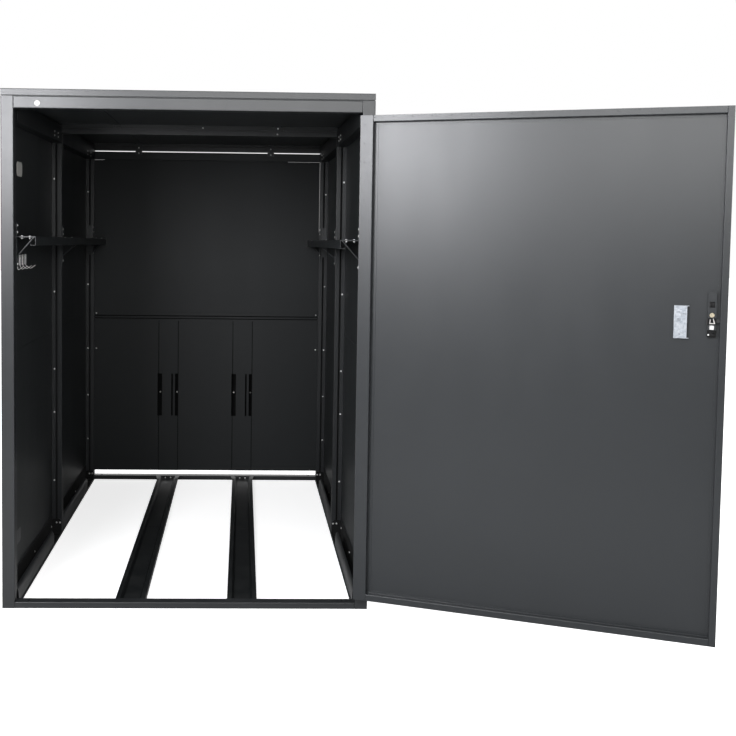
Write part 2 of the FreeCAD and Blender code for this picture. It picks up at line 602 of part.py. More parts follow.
# ---------------------------------------------------------------- wheel gutters
g_half = dim("gutter_width") / 2
g_top = dim("gutter_height")
for s, k in SIDES:
    c = centre * k
    lengths = []
    for bay, y0, y1 in (("front", post, Size.of(1062)), ("rear", Size.of(1063), rear_front)):
        top = [(-g_half, 0), (-g_half, g_top), (-g_half + 17, g_top), (-g_half + 25, 4.5), (g_half - 25, 4.5),
               (g_half - 17, g_top), (g_half, g_top), (g_half, 0)]
        under = [(g_half - 1.5, 0), (g_half - 1.5, g_top - 1.5), (g_half - 16.1, g_top - 1.5),
                 (g_half - 24.1, 3), (-g_half + 24.1, 3), (-g_half + 16.1, g_top - 1.5),
                 (-g_half + 1.5, g_top - 1.5), (-g_half + 1.5, 0)]
        rim = [(c + u, v) for u, v in top + under]
        length = prism("gutter_%s_%s" % (s, bay), "XZ", rim, y0, y1 - y0,
                       [((0, 1), Size.of(1.8)), ((0, 6), Size.of(1.8)), ((0, 2), Size.of(1.5)), ((0, 5), Size.of(1.5))])
        if bay == "rear":
            # upright screwed tab and flared ears where the gutter meets the rear beam
            tab = box("gutter_tab_%s" % s, c - 24, c + 24, rear_front - 2, rear_front, 3, 21)
            ears = []
            for side, f in SIDES:
                base = c + g_half * f
                pts = [(base - 9 * f, rear_front - 75), (base - 0.5 * f, rear_front - 75), (base + 9 * f, rear_front - 2),
                       (base + 9 * f, rear_front), (base - 12 * f, rear_front), (base - 12 * f, rear_front - 2)]
                ears.append(prism("gutter_ear_%s_%s" % (s, side), "XY", pts, g_top, 1.8))
            length = fuse("gutter_%s_rear_end" % s, [length, tab] + ears)
        lengths.append(length)
    keep("wheel_gutter_%s" % s, group("wheel_gutter_%s" % s, lengths))

# ---------------------------------------------------------------- shelves
# Both shelves fall slightly towards the back.
shelf_z = dim("shelf_top")
lip = dim("shelf_lip")
edge = dim("shelf_edge")
slope = dim("shelf_slope")
shelf_start = post + 3


def fall(y):
    """How far the shelf has dropped at a given depth."""
    return (Size.of(y) - shelf_start) * slope


tilt = math.atan(slope.value)
tilt_text = "atan(%s)" % slope.text
braces = []
for s, k in SIDES:
    wall_x = (side_in - 0.5) * k
    lip_x = edge * k
    pts = [(wall_x, shelf_z - 14), (wall_x, shelf_z), (lip_x, shelf_z), (lip_x, shelf_z - lip),
           (lip_x + 18 * k, shelf_z - lip), (lip_x + 18 * k, shelf_z - lip + 7)]
    if k > 0:
        pts = pts[::-1]
    tray = folded("shelf_%s_tray" % s, "XZ", pts, -gauge, shelf_start, rear_front - post - 6)
    # notches for the middle post and for the upright legs of the three brackets
    x0, x1 = both(deep_in - 3, side_in + 1, k)
    notches = [box("shelf_notch_%s" % s, x0, x1, mid_front - 0.6, mid_back + 0.6, shelf_z - 20, shelf_z + 2)]
    x0, x1 = both(front_in - 2, side_in + 1, k)
    notches += [box("shelf_notch_front_%s" % s, x0, x1, post + 2, post + 22, shelf_z - 20, shelf_z + 2),
                box("shelf_notch_rear_%s" % s, x0, x1, rear_front - 22, rear_front - 2, shelf_z - 20, shelf_z + 2)]
    tray = cut("shelf_%s_level" % s, tray, notches)
    y0, z0 = shelf_start.value, shelf_z.value
    tray.Placement = Placement(Vector(0, y0 - (y0 * math.cos(tilt) + z0 * math.sin(tilt)),
                                      z0 - (z0 * math.cos(tilt) - y0 * math.sin(tilt))),
                               Rotation(Vector(-1, 0, 0), math.degrees(tilt)))
    tray.setExpression("Placement.Rotation.Angle", tilt_text)
    tray.setExpression("Placement.Base.y", "%s - (%s * cos(%s) + %s * sin(%s))" % (
        shelf_start.text, shelf_start.text, tilt_text, shelf_z.text, tilt_text))
    tray.setExpression("Placement.Base.z", "%s - (%s * cos(%s) - %s * sin(%s))" % (
        shelf_z.text, shelf_z.text, tilt_text, shelf_start.text, tilt_text))
    keep("shelf_%s" % s, group("shelf_%s" % s, [tray]))
    # each bracket is an upright leg, a short arm under the shelf and a thin slanting strut
    thin = 2.5
    leg_z0, leg_z1 = 1212, 1368
    under = shelf_z - gauge
    for row, y0, y1, leg in (("front", shelf_start, post + 21, front_in - 1.5),
                             ("mid", mid_front + 13, mid_front + 31, deep_in - thin),
                             ("rear", rear_front - 21, rear_front - 3, front_in - 1.5)):
        tag = "%s_%s" % (s, row)
        down0, down1 = fall(y0), fall(y1) + 0.02
        start, drop = (edge + 5, under - thin - down1 + 0.9) if row != "mid" else (edge + 3.5, shelf_z - lip - down1)
        x0, x1 = both(leg, leg + thin, k)
        parts = [box("shelf_leg_" + tag, x0, x1, y0, y1, leg_z0 if row != "mid" else 1200, leg_z1 if row != "mid" else 1358)]
        x0, x1 = both(edge + 3.5, leg + 0.5, k)
        parts.append(prism("shelf_arm_" + tag, "YZ",
                           [(y0, under - thin - down0 - 0.02), (y1, under - thin - down1), (y1, under - down1),
                            (y0, under - down0 - 0.02)], x0, x1 - x0))
        foot = Size.of(1229) if row == "mid" else 1248 - down1
        strut = [(start, drop), (start + 3.4, drop), (leg + 0.5, foot + 3.4), (leg + 0.5, foot)]
        if k < 0:
            strut = [(-Size.of(u), v) for u, v in strut]
        parts.append(prism("shelf_strut_" + tag, "XZ", strut, y0, y1 - y0))
        if row != "mid":
            # the leg is folded back against the post
            x0, x1 = both(leg + 0.5, front_in + 33, k)
            w0, w1 = (post, post + 4) if row == "front" else (rear_front - 4, rear_front)
            parts.append(box("shelf_fold_" + tag, x0, x1, w0, w1, leg_z0, leg_z1))
        braces.append(fuse("shelf_bracket_" + tag, parts))
keep("shelf_brackets", group("shelf_brackets", braces))

# Hooks for bags and helmets under the left shelf, near the door.
hooks = []
for i, reach in enumerate((7, 11, 16, 21)):
    y0 = 228 + 52 * i
    back = -side_in
    plate = box("hook_plate_%d" % (i + 1), back, back + 2.5, y0, y0 + 32, 1209, 1249)
    root = back + reach
    pts = [(back + 2, 1214), (back + 2, 1207), (root - 3, 1193.5), (root + 1, 1193), (root + 20, 1206.5),
           (root + 18.8, 1209), (root + 0.6, 1196), (root - 1.6, 1196.4)]
    arm = prism("hook_arm_%d" % (i + 1), "XZ", pts, y0 + 11, 12)
    hooks.append(fuse("hook_%d" % (i + 1), [plate, arm]))
keep("bag_hooks", group("bag_hooks", hooks))

# ---------------------------------------------------------------- frame screws
studs = []


def screw(direction, x, y, z):
    studs.append(stud("screw_%d" % (len(studs) + 1), direction, x, y, z))


for s, k in SIDES:
    for z in (1565, 1073, 732, 540, 236):
        screw("-Y", 632.5 * k, mid_front, z)
    for z in (1546, 1054, 712, 460, 222):
        screw("-Y", 632.5 * k, rear_front, z)
    inward = "+X" if k < 0 else "-X"
    for y, z0, z1 in ((800, 1755, 1738), (884, 1755, 1738), (1775, 1743, 1727), (1887, 1743, 1727)):
        screw(inward, deep_in * k, y, z0)
        screw(inward, deep_in * k, y, z1)
    for y, z in ((576, 34.3), (962, 30), (1657, 22)):
        screw(inward, (side_in - gauge) * k, y, z)
    for y0, z in ((mid_front - 2.5, 46), (rear_front - 2.5, 32)):
        screw("-Y", 607.5 * k, y0, z)
        screw("-Y", 623 * k, y0, z)
    for z in (1346, 1325, 1209):
        screw(inward, (deep_in - 2.5) * k, mid_front + 22, z)
    for z in (1358, 1334, 1222):
        screw(inward, (front_in - 1.5) * k, 57, z)
        screw(inward, (front_in - 1.5) * k, rear_front - 12, z)
    for y in (57, 1002, rear_front - 12):
        for x in (560, 588):
            screw("+Z", x * k, y, shelf_z - fall(y - 4.4))
    for dx in (-14, 15):
        screw("-Y", centre * k + dx, rear_front - 2, 12)
    screw("-Y", 588 * k, panel_y, 899)
    screw("-Y", 588 * k, panel_y, 712)
    for dx in (-45.7, 45):
        screw("-Y", column[s] + dx, rear_back - gauge, 472)
    for z in (1782, 1753):
        screw("-Y", -364.5 if k < 0 else 335.5, rear_front - 2, z)
screw("-Y", 340.5, mid_front - 2, 1795)
screw("-Y", 338, mid_front, 1770)
screw("-Y", 12.8, mid_front, 1793.5)
keep("frame_screws", group("frame_screws", studs))

# ---------------------------------------------------------------- door, drawn closed
hinge_x = dim("door_edge")
free_x = hinge_x - dim("door_width")
z_low, z_high = dim("door_low"), dim("door_high")
depth = dim("door_depth")
back_y = depth - gauge
door_parts = []


def on_door(name, obj):
    door_parts.append(obj)
    return keep(name, obj)


lock_x = dim("lock_x")
spindle_z = dim("spindle_z")
cylinder_z = dim("cylinder_z")

skin_block = prism("door_skin_block", "XY",
                   [(free_x, 0), (hinge_x, 0), (hinge_x, back_y), (free_x, back_y)],
                   z_low, z_high - z_low, [((0, 0), Size.of(2.5)), ((0, 1), Size.of(2.5))])
skin_hollow = box("door_skin_hollow", free_x + gauge, hinge_x - gauge, gauge, depth, z_low + gauge, z_high - gauge)
skin_tools = [skin_hollow,
              rod("door_spindle_hole", "+Y", lock_x, -1, spindle_z, 12, gauge + 2),
              rod("door_cylinder_hole", "+Y", lock_x, -1, cylinder_z, 10, gauge + 2),
              box("door_edge_slot", free_x - 1, free_x + gauge + 1, 12, 17, spindle_z + 14, spindle_z + 28)]
on_door("door_skin", cut("door_skin", skin_block, skin_tools))

end = dim("end_flange")
edge_in = hinge_x - dim("hinge_flange")
skin_2 = gauge * 2
line = [(hinge_x, depth), (edge_in, depth), (edge_in, skin_2), (edge_in - 13, skin_2)]
ends = [box("hinge_channel_end_low", edge_in - 15, edge_in, 0, depth - gauge - 4, z_low - 1, z_low + end + 9),
        box("hinge_channel_end_high", edge_in - 15, edge_in, 0, depth - gauge - 4, z_high - end - 9, z_high + 1),
        box("hinge_channel_foot", edge_in - 1, edge_in + gauge + 1, 0, back_y, z_low - 1, z_low + gauge),
        box("hinge_channel_head", edge_in - 1, edge_in + gauge + 1, 0, back_y, z_high - gauge, z_high + 1)]
on_door("door_hinge_channel", cut("door_hinge_channel",
        folded("door_hinge_channel_fold", "XY", line, gauge, z_low, z_high - z_low), ends))
lock_in = free_x + dim("lock_flange")
line = [(lock_in + 9, skin_2), (lock_in, skin_2), (lock_in, depth), (free_x, depth)]
lock_channel = folded("door_lock_channel_fold", "XY", line, gauge, z_low, z_high - z_low)
on_door("door_lock_channel", cut("door_lock_channel", lock_channel,
        [box("lock_channel_end_low", lock_in, lock_in + 12, 0, depth - gauge - 4, z_low - 1, z_low + end + 9),
         box("lock_channel_end_high", lock_in, lock_in + 12, 0, depth - gauge - 4, z_high - end - 9, z_high + 1),
         box("lock_channel_foot", lock_in - gauge - 1, lock_in + 1, 0, back_y, z_low - 1, z_low + gauge),
         box("lock_channel_head", lock_in - gauge - 1, lock_in + 1, 0, back_y, z_high - gauge, z_high + 1),
         box("lock_channel_slot", lock_in - 3, lock_in + 1, 12, 17, spindle_z + 14, spindle_z + 28)]))
line = [(depth, z_high), (depth, z_high - end), (skin_2, z_high - end), (skin_2, z_high - end - 8)]
on_door("door_top_channel", folded("door_top_channel", "YZ", line, -gauge, lock_in, edge_in - lock_in))
line = [(skin_2, z_low + end + 8), (skin_2, z_low + end), (depth, z_low + end), (depth, z_low)]
on_door("door_bottom_channel", folded("door_bottom_channel", "YZ", line, -gauge, lock_in, edge_in - lock_in))

# ---------------------------------------------------------------- hinges
axis_x, axis_y = dim("hinge_axis_x"), dim("hinge_axis_y")
knuckle = dim("knuckle_radius")
pin_r = dim("pin_radius")
play = dim("pin_play")
frame_leaves, door_leaves, pins = [], [], []
for number, z in enumerate((260, 900, 1540), start=1):
    z = Size.of(z)
    # frame leaf on the front of the right post, carrying the lower knuckle
    barrel = rod("frame_knuckle_%d" % number, "+Z", axis_x, axis_y, z - 32, knuckle, 31.5)
    leaf = box("frame_leaf_%d" % number, axis_x + 1, half - 14, -2.6, 0, z - 32, z - 0.5)
    web = box("frame_web_%d" % number, axis_x + 2, axis_x + 7, axis_y, 0, z - 32, z - 0.5)
    bore = rod("frame_bore_%d" % number, "+Z", axis_x, axis_y, z - 33, pin_r + play, 34)
    frame_leaves.append(cut("frame_hinge_%d" % number, fuse("frame_half_%d" % number, [barrel, leaf, web]), [bore]))
    # door leaf on the front of the door, carrying the upper knuckle
    barrel = rod("door_knuckle_%d" % number, "+Z", axis_x, axis_y, z, knuckle, 32)
    leaf = box("door_leaf_%d" % number, hinge_x - 42, axis_x - 1, -2.6, 0, z, z + 32)
    web = box("door_web_%d" % number, axis_x - 7, axis_x - 3, axis_y, 0, z, z + 32)
    bore = rod("door_bore_%d" % number, "+Z", axis_x, axis_y, z - 1, pin_r + play, 34)
    door_leaves.append(cut("door_hinge_%d" % number, fuse("door_half_%d" % number, [barrel, leaf, web]), [bore]))
    stem = rod("pin_stem_%d" % number, "+Z", axis_x, axis_y, z - 34, pin_r, 66.8)
    head = rod("pin_head_%d" % number, "+Z", axis_x, axis_y, z + 32.3, knuckle - 0.5, 2.2)
    foot = rod("pin_foot_%d" % number, "+Z", axis_x, axis_y, z - 34, knuckle - 0.5, 2)
    pins.append(fuse("hinge_pin_%d" % number, [stem, head, foot]))
keep("hinge_frame_leaves", group("hinge_frame_leaves", frame_leaves))
keep("hinge_pins", group("hinge_pins", pins))
on_door("hinge_door_leaves", group("hinge_door_leaves", door_leaves))

# ---------------------------------------------------------------- inside pull and lock case
pull_0, pull_1 = hinge_x - 1075, hinge_x - 1036
pull_z0, pull_z1 = Size.of(1025), Size.of(1128.5)
shell = box("pull_shell", pull_0, pull_1, gauge, 17, pull_z0, pull_z1)
shell_void = box("pull_void", pull_0 - 1, pull_1 - gauge, gauge - 1, 17 - gauge, pull_z0 + gauge, pull_z1 - gauge)
ears = [box("pull_ear_low", pull_0 - 6, pull_0, gauge, 17, pull_z0, pull_z0 + gauge),
        box("pull_ear_high", pull_0 - 6, pull_0, gauge, 17, pull_z1 - gauge, pull_z1)]
shell_cut = cut("pull_cut", shell, [shell_void])
on_door("door_pull_guard", fuse("door_pull_guard", [shell_cut] + ears))

case_0, case_1 = lock_x - 13, lock_x + 12.5      # free side, hinge side
case_z0, case_z1 = Size.of(1032), Size.of(1173)
case_shell = box("case_shell", case_0, case_1, gauge, 18, case_z0, case_z1)
case_void = box("case_void", case_0 - 1, case_1 - gauge, gauge - 1, 16.5, case_z0 + gauge, case_z1 - gauge)
case_tools = [case_void,
              rod("case_spindle_hole", "+Y", lock_x, 15, spindle_z, 7.4, 5),
              rod("case_cylinder_hole", "+Y", lock_x, 15, cylinder_z, 7.3, 5),
              box("case_window", lock_x - 8, lock_x + 9, 15, 20, 1125, 1143.5),
              box("case_bolt_gap", case_1 - 3, case_1 + 1, 8.5, 17.2, spindle_z + 5, spindle_z + 28),
              box("case_side_window", case_1 - 3, case_1 + 1, 4, 15.5, case_z0 + 6, case_z1 - 4),
              box("case_foot_gap", lock_x - 9, lock_x + 7, 15, 20, 1037, 1051)]
on_door("lock_case", cut("lock_case", case_shell, case_tools))

# spring clip: two arms between cylinder and spindle, and a bent tongue under the spindle
arm_a = prism("clip_arm_a", "XZ", [(lock_x + 4.6, 1076), (lock_x + 7.0, 1076), (lock_x + 6.2, 1088), (lock_x + 3.8, 1088)],
              18, 2.2)
arm_b = prism("clip_arm_b", "XZ", [(lock_x - 9.6, 1076), (lock_x - 5.4, 1076), (lock_x - 2.6, 1091), (lock_x - 4.4, 1091)],
              18, 2.2)
clip_base = box("clip_base", lock_x - 9.6, lock_x + 7.0, 18, 19.2, 1074, 1076.8)
clip = fuse("lock_clip_spring", [arm_a, arm_b, clip_base])
tongue_line = [(lock_x - 11, 1047), (lock_x - 7, 1050.8), (lock_x + 6, 1050.8), (lock_x + 8, 1044), (lock_x + 3, 1038),
               (lock_x - 4, 1036), (lock_x - 9, 1040), (lock_x - 4, 1043), (lock_x + 2, 1044.5), (lock_x + 1, 1048)]
tongue_piece = prism("clip_tongue", "XZ", tongue_line, 18, 1.6)
screw_pad = rod("clip_pad", "+Y", lock_x + 9.2, 18, 1039.5, 3.2, 1.6)
on_door("lock_clip", group("lock_clip", [clip, tongue_piece, screw_pad]))

# outside plate of the handle
plate = prism("handle_plate_body", "XZ",
              [(lock_x - 15, 1032), (lock_x + 15, 1032), (lock_x + 15, 1184), (lock_x - 15, 1184)],
              -6, 6, [((0, i), Size.of(13)) for i in range(4)])
plate_tools = [rod("plate_spindle_hole", "+Y", lock_x, -7, spindle_z, dim("spindle_radius") + play, 8),
               rod("plate_cylinder_hole", "+Y", lock_x, -7, cylinder_z, dim("cylinder_radius"), 8)]
on_door("handle_plate", cut("handle_plate", plate, plate_tools))

cylinder = fuse("cylinder_whole", [rod("cylinder_barrel", "+Y", lock_x, -5, cylinder_z, dim("cylinder_radius"), 20.5),
                                   rod("cylinder_nose", "+Y", lock_x, 14, cylinder_z, dim("cylinder_radius") - 1.7, 6.5)])
cylinder_bore = rod("cylinder_bore", "+Y", lock_x, -6, cylinder_z, dim("plug_radius") + play, 28)
on_door("lock_cylinder", cut("lock_cylinder", cylinder, [cylinder_bore]))

plug_core = rod("plug_core", "+Y", lock_x, -4.6, cylinder_z, dim("plug_radius"), 25.6)
keyway = box("plug_keyway", lock_x - 0.6, lock_x + 0.6, -5.6, 4, cylinder_z - 3.8, cylinder_z + 3)
plug_dimple = rod("plug_dimple", "+Y", lock_x, 18.6, cylinder_z, 3, 3)
on_door("lock_plug", cut("lock_plug", plug_core, [keyway, plug_dimple]))

# ---------------------------------------------------------------- handle: spindle, bolt, lever
# The lever lies level towards the hinges. A quarter turn stands it upright and the crank pin
# on the spindle drives the flat bolt out through the door edge into the post.
shaft = rod("spindle_shaft", "+Y", lock_x, -6.2, spindle_z, dim("spindle_radius"), 15.7)
square = box("spindle_square", lock_x - 5, lock_x + 5, 9.5, 19, spindle_z - 5, spindle_z + 5)
nut = box("spindle_nut", lock_x - 6.1, lock_x + 6.1, 18.4, 21.6, spindle_z - 6.1, spindle_z + 6.1)
head = box("spindle_head", lock_x - 8, lock_x + 7, -15.5, -6, spindle_z - 5.5, spindle_z + 5.5)
crank_r = dim("crank_radius")
crank = prism("spindle_crank", "XZ",
              [(lock_x - 6.4, spindle_z - 6.4), (lock_x + 6.4, spindle_z - 6.4), (lock_x + 11.6, spindle_z + 8.6),
               (lock_x + 8.6, spindle_z + 11.6), (lock_x - 6.4, spindle_z + 6.4)], 9.5, 3.3)
crank_pin = rod("spindle_crank_pin", "+Y", lock_x + crank_r * 0.707107, 12, spindle_z + crank_r * 0.707107,
                dim("crank_pin_radius"), 3.9)
head_bore = rod("spindle_head_bore", "+Z", lock_x, dim("lever_pin_y"), spindle_z - 7, 2 + play, 14)
nut_dimple = rod("nut_dimple", "+Y", lock_x, 20.4, spindle_z, 2.6, 2)
on_door("handle_spindle", cut("handle_spindle", fuse("spindle_whole", [shaft, square, nut, head, crank, crank_pin]),
                              [head_bore, nut_dimple]))

# flat bolt with a downward fork around the crank pin
tail = lock_x + crank_r * 0.707107
gap = dim("crank_pin_radius") + 0.5
bolt_line = [(free_x + 0.2, spindle_z + 15.3), (tail - gap - 4, spindle_z + 15.3), (tail - gap - 4, spindle_z + 7.8),
             (tail - gap, spindle_z + 7.8), (tail - gap, spindle_z + 17), (tail + gap, spindle_z + 17),
             (tail + gap, spindle_z + 7.8), (tail + gap + 4, spindle_z + 7.8), (tail + gap + 4, spindle_z + 26.5),
             (free_x + 4, spindle_z + 26.5), (free_x + 0.2, spindle_z + 22)]
on_door("latch_bolt", prism("latch_bolt", "XZ", bolt_line, 13.3, 2.5))

bar = prism("lever_bar", "XZ",
            [(lock_x - 4, spindle_z - 12), (lock_x + 20, spindle_z - 12), (lock_x + 112, spindle_z - 9),
             (lock_x + 118, spindle_z - 3), (lock_x + 118, spindle_z + 3), (lock_x + 112, spindle_z + 9),
             (lock_x + 20, spindle_z + 12), (lock_x - 4, spindle_z + 12)], -16.4, 8.6,
            [((0, 0), Size.of(3)), ((0, 7), Size.of(3))])
lever_tools = [box("lever_fork", lock_x - 12, lock_x + 9, -17, -6, spindle_z - 5.8, spindle_z + 5.8),
               rod("lever_key_hole", "+Y", lock_x + (cylinder_z - spindle_z), -17, spindle_z, 8, 12),
               rod("lever_pin_hole", "+Z", lock_x, dim("lever_pin_y"), spindle_z - 13, 2 + play / 2, 26)]
on_door("handle_lever", cut("handle_lever", bar, lever_tools))
on_door("lever_pin", group("lever_pin", [
    rod("lever_pin_rod", "+Z", lock_x, dim("lever_pin_y"), spindle_z - 11.8, 2, 23.6)]))

# ---------------------------------------------------------------- open the door
# The frame of the row has its origin in the middle of the four ground anchors.
doc.recompute()
anchor_y = (post / 2 + rear_front + post / 2) / 2
theta = "Dims.door_open"
turn_cos = "cos(%s)" % theta
turn_sin = "sin(%s)" % theta
radians = math.radians(sheet.get("door_open"))
ax, ay = axis_x.value, axis_y.value
swing_x = ax - (ax * math.cos(radians) - ay * math.sin(radians))
swing_y = ay - (ax * math.sin(radians) + ay * math.cos(radians))
for name, obj in nodes.items():
    if obj in door_parts:
        obj.Placement = Placement(Vector(swing_x, swing_y - anchor_y.value, 0),
                                  Rotation(Vector(0, 0, 1), sheet.get("door_open")))
        obj.setExpression("Placement.Rotation.Angle", theta)
        obj.setExpression("Placement.Base.x", "%s - (%s * %s - %s * %s)" % (
            axis_x.text, axis_x.text, turn_cos, axis_y.text, turn_sin))
        obj.setExpression("Placement.Base.y", "%s - (%s * %s + %s * %s) - %s" % (
            axis_y.text, axis_x.text, turn_sin, axis_y.text, turn_cos, anchor_y.text))
    else:
        obj.Placement = Placement(Vector(0, -anchor_y.value, 0), Rotation())
        obj.setExpression("Placement.Base.y", (-anchor_y).text)
doc.recompute()
for obj in door_parts:
    base = obj.Placement.Base
    if abs(base.x - swing_x) > 1e-6 or abs(base.y - swing_y + anchor_y.value) > 1e-6:
        raise RuntimeError("door placement: %s %s" % (obj.Label, base))

# ---------------------------------------------------------------- checks and files
for obj in doc.Objects:
    bad = [s for s in obj.State if s in ("Invalid", "Error")]
    if bad:
        raise RuntimeError("%s: %s" % (obj.Label, obj.State))
for name, obj in nodes.items():
    shape = obj.Shape
    if shape.isNull() or not shape.isValid() or shape.Volume <= 0:
        raise RuntimeError("bad shape: %s" % name)
    if not shape.Solids:
        raise RuntimeError("no solid: %s" % name)
if len(nodes) > 60:
    raise RuntimeError("too many nodes: %d" % len(nodes))
total = 0.0
for name, obj in nodes.items():
    obj.Shape.exportStep("parts/%s.step" % name)
    b = obj.Shape.BoundBox
    total += obj.Shape.Volume
    print("%-28s solids %3d  volume %10.0f  X %7.1f..%7.1f  Y %7.1f..%7.1f  Z %7.1f..%7.1f" % (
        name, len(obj.Shape.Solids), obj.Shape.Volume, b.XMin, b.XMax, b.YMin, b.YMax, b.ZMin, b.ZMax))
print("nodes", len(nodes), "volume", round(total))
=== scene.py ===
import math
import random

import bmesh
import bpy
from mathutils import Matrix, Vector


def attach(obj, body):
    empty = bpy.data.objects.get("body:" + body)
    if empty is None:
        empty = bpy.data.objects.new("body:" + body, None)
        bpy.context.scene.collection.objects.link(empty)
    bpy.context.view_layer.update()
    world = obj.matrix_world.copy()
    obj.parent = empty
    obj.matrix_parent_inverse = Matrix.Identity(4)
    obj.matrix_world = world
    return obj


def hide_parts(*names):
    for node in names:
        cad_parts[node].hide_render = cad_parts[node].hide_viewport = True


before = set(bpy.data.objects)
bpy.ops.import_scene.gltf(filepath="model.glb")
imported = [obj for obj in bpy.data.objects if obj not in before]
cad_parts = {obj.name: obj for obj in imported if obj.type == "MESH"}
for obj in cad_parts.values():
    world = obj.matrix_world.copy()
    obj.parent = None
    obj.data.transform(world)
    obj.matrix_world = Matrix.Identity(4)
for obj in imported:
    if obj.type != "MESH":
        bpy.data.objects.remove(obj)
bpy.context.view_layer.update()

random.seed(11)

# Build coordinates are millimetres with Y = 0 at the front plane of the locker; the row's origin is
# the middle of the ground anchors, 1035.5 mm further back.
BACK = 1035.5
OPEN = math.radians(157.95)
HINGE = Vector((603.0, -6.0, 0.0))
TURN = Matrix.Rotation(OPEN, 4, "Z")


def fixed(x, y, z):
    """A point on the standing part of the locker, in the row frame in metres."""
    return Vector((x / 1000, (y - BACK) / 1000, z / 1000))


def leaf(x, y, z):
    """A point given on the closed door, moved to where the open door has it."""
    p = TURN @ (Vector((x, y, z)) - HINGE) + HINGE
    return fixed(p.x, p.y, p.z)


def build(name, verts, faces, body, material, smooth=True, auto=35):
    mesh = bpy.data.meshes.new(name)
    mesh.from_pydata([tuple(v) for v in verts], [], faces)
    mesh.update()
    bm = bmesh.new()
    bm.from_mesh(mesh)
    bmesh.ops.remove_doubles(bm, verts=bm.verts, dist=1e-7)
    bmesh.ops.recalc_face_normals(bm, faces=bm.faces)
    for edge in bm.edges:
        if len(edge.link_faces) == 2 and edge.calc_face_angle(0) > math.radians(auto):
            edge.smooth = False
    for face in bm.faces:
        face.smooth = smooth
    bm.to_mesh(mesh)
    bm.free()
    obj = bpy.data.objects.new(name, mesh)
    bpy.context.scene.collection.objects.link(obj)
    mesh.materials.append(material)
    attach(obj, body)
    return obj


class Pile:
    """Collects several shapes into one piece."""

    def __init__(self):
        self.verts = []
        self.faces = []

    def add(self, verts, faces):
        base = len(self.verts)
        self.verts += verts
        self.faces += [tuple(base + i for i in f) for f in faces]

    def rings(self, rings, closed=True, cap_first=True, cap_last=True):
        """A skin over equal rings of points."""
        count = len(rings[0])
        verts = [p for ring in rings for p in ring]
        faces = []
        for i in range(len(rings) - 1):
            for j in range(count if closed else count - 1):
                k = (j + 1) % count
                faces.append((i * count + j, i * count + k, (i + 1) * count + k, (i + 1) * count + j))
        if cap_first:
            faces.append(tuple(range(count))[::-1])
        if cap_last:
            last = (len(rings) - 1) * count
            faces.append(tuple(last + j for j in range(count)))
        self.add(verts, faces)


def axes_of(direction):
    w = Vector(direction).normalized()
    u = w.orthogonal().normalized()
    return u, w.cross(u), w


def screw_head(pile, at, direction, radius=4.2, height=2.3, spin=0.0):
    """Low round head with a rolled rim, a domed crown and a six-sided socket. Millimetres, then metres."""
    u, v, w = axes_of(direction)
    socket = radius * 0.46
    count = 24

    def ring(r, h, hexagon=0.0):
        out = []
        for i in range(count):
            a = 2 * math.pi * i / count + spin
            rr = r
            if hexagon:
                b = (a - spin) % (math.pi / 3) - math.pi / 6
                rr = r * (1 - hexagon + hexagon * math.cos(math.pi / 6) / math.cos(b))
            out.append(at + (u * math.cos(a) + v * math.sin(a)) * (rr / 1000) + w * (h / 1000))
        return out

    pile.rings([
        ring(radius, 0.0), ring(radius, height * 0.22), ring(radius * 0.965, height * 0.42),
        ring(radius * 0.86, height * 0.70), ring(radius * 0.70, height * 0.90), ring(socket * 1.22, height * 0.985),
        ring(socket * 1.04, height * 0.97, 1.0), ring(socket, height * 0.86, 1.0), ring(socket * 0.97, height * 0.32, 1.0),
        ring(socket * 0.45, height * 0.25, 0.5)], cap_first=False)


def rivet_head(pile, at, direction, radius=3.6, height=1.6):
    """Domed blind rivet with the small dimple of its snapped mandrel."""
    u, v, w = axes_of(direction)
    count = 20

    def ring(r, h):
        return [at + (u * math.cos(2 * math.pi * i / count) + v * math.sin(2 * math.pi * i / count)) * (r / 1000)
                + w * (h / 1000) for i in range(count)]

    pile.rings([ring(radius, 0), ring(radius * 0.97, height * 0.3), ring(radius * 0.8, height * 0.68),
                ring(radius * 0.55, height * 0.92), ring(radius * 0.36, height), ring(radius * 0.30, height * 0.9),
                ring(radius * 0.27, height * 0.55), ring(radius * 0.1, height * 0.5)], cap_first=False)


# ---------------------------------------------------------------- materials
def new_material(name):
    mat = bpy.data.materials.new(name)
    mat.use_nodes = True
    tree = mat.node_tree
    tree.nodes.clear()
    out = tree.nodes.new("ShaderNodeOutputMaterial")
    shader = tree.nodes.new("ShaderNodeBsdfPrincipled")
    tree.links.new(shader.outputs["BSDF"], out.inputs["Surface"])
    return mat, tree, shader


def coords(tree, scale=(1, 1, 1)):
    tex = tree.nodes.new("ShaderNodeTexCoord")
    mapping = tree.nodes.new("ShaderNodeMapping")
    mapping.inputs["Scale"].default_value = scale
    tree.links.new(tex.outputs["Object"], mapping.inputs["Vector"])
    return mapping.outputs["Vector"]


def noise(tree, vector, scale, detail=3, rough=0.55):
    node = tree.nodes.new("ShaderNodeTexNoise")
    node.inputs["Scale"].default_value = scale
    node.inputs["Detail"].default_value = detail
    node.inputs["Roughness"].default_value = rough
    tree.links.new(vector, node.inputs["Vector"])
    return node.outputs["Fac"]


def span(tree, value, low, high, from_low=0.0, from_high=1.0):
    node = tree.nodes.new("ShaderNodeMapRange")
    node.inputs["From Min"].default_value = from_low
    node.inputs["From Max"].default_value = from_high
    node.inputs["To Min"].default_value = low
    node.inputs["To Max"].default_value = high
    tree.links.new(value, node.inputs["Value"])
    return node.outputs["Result"]


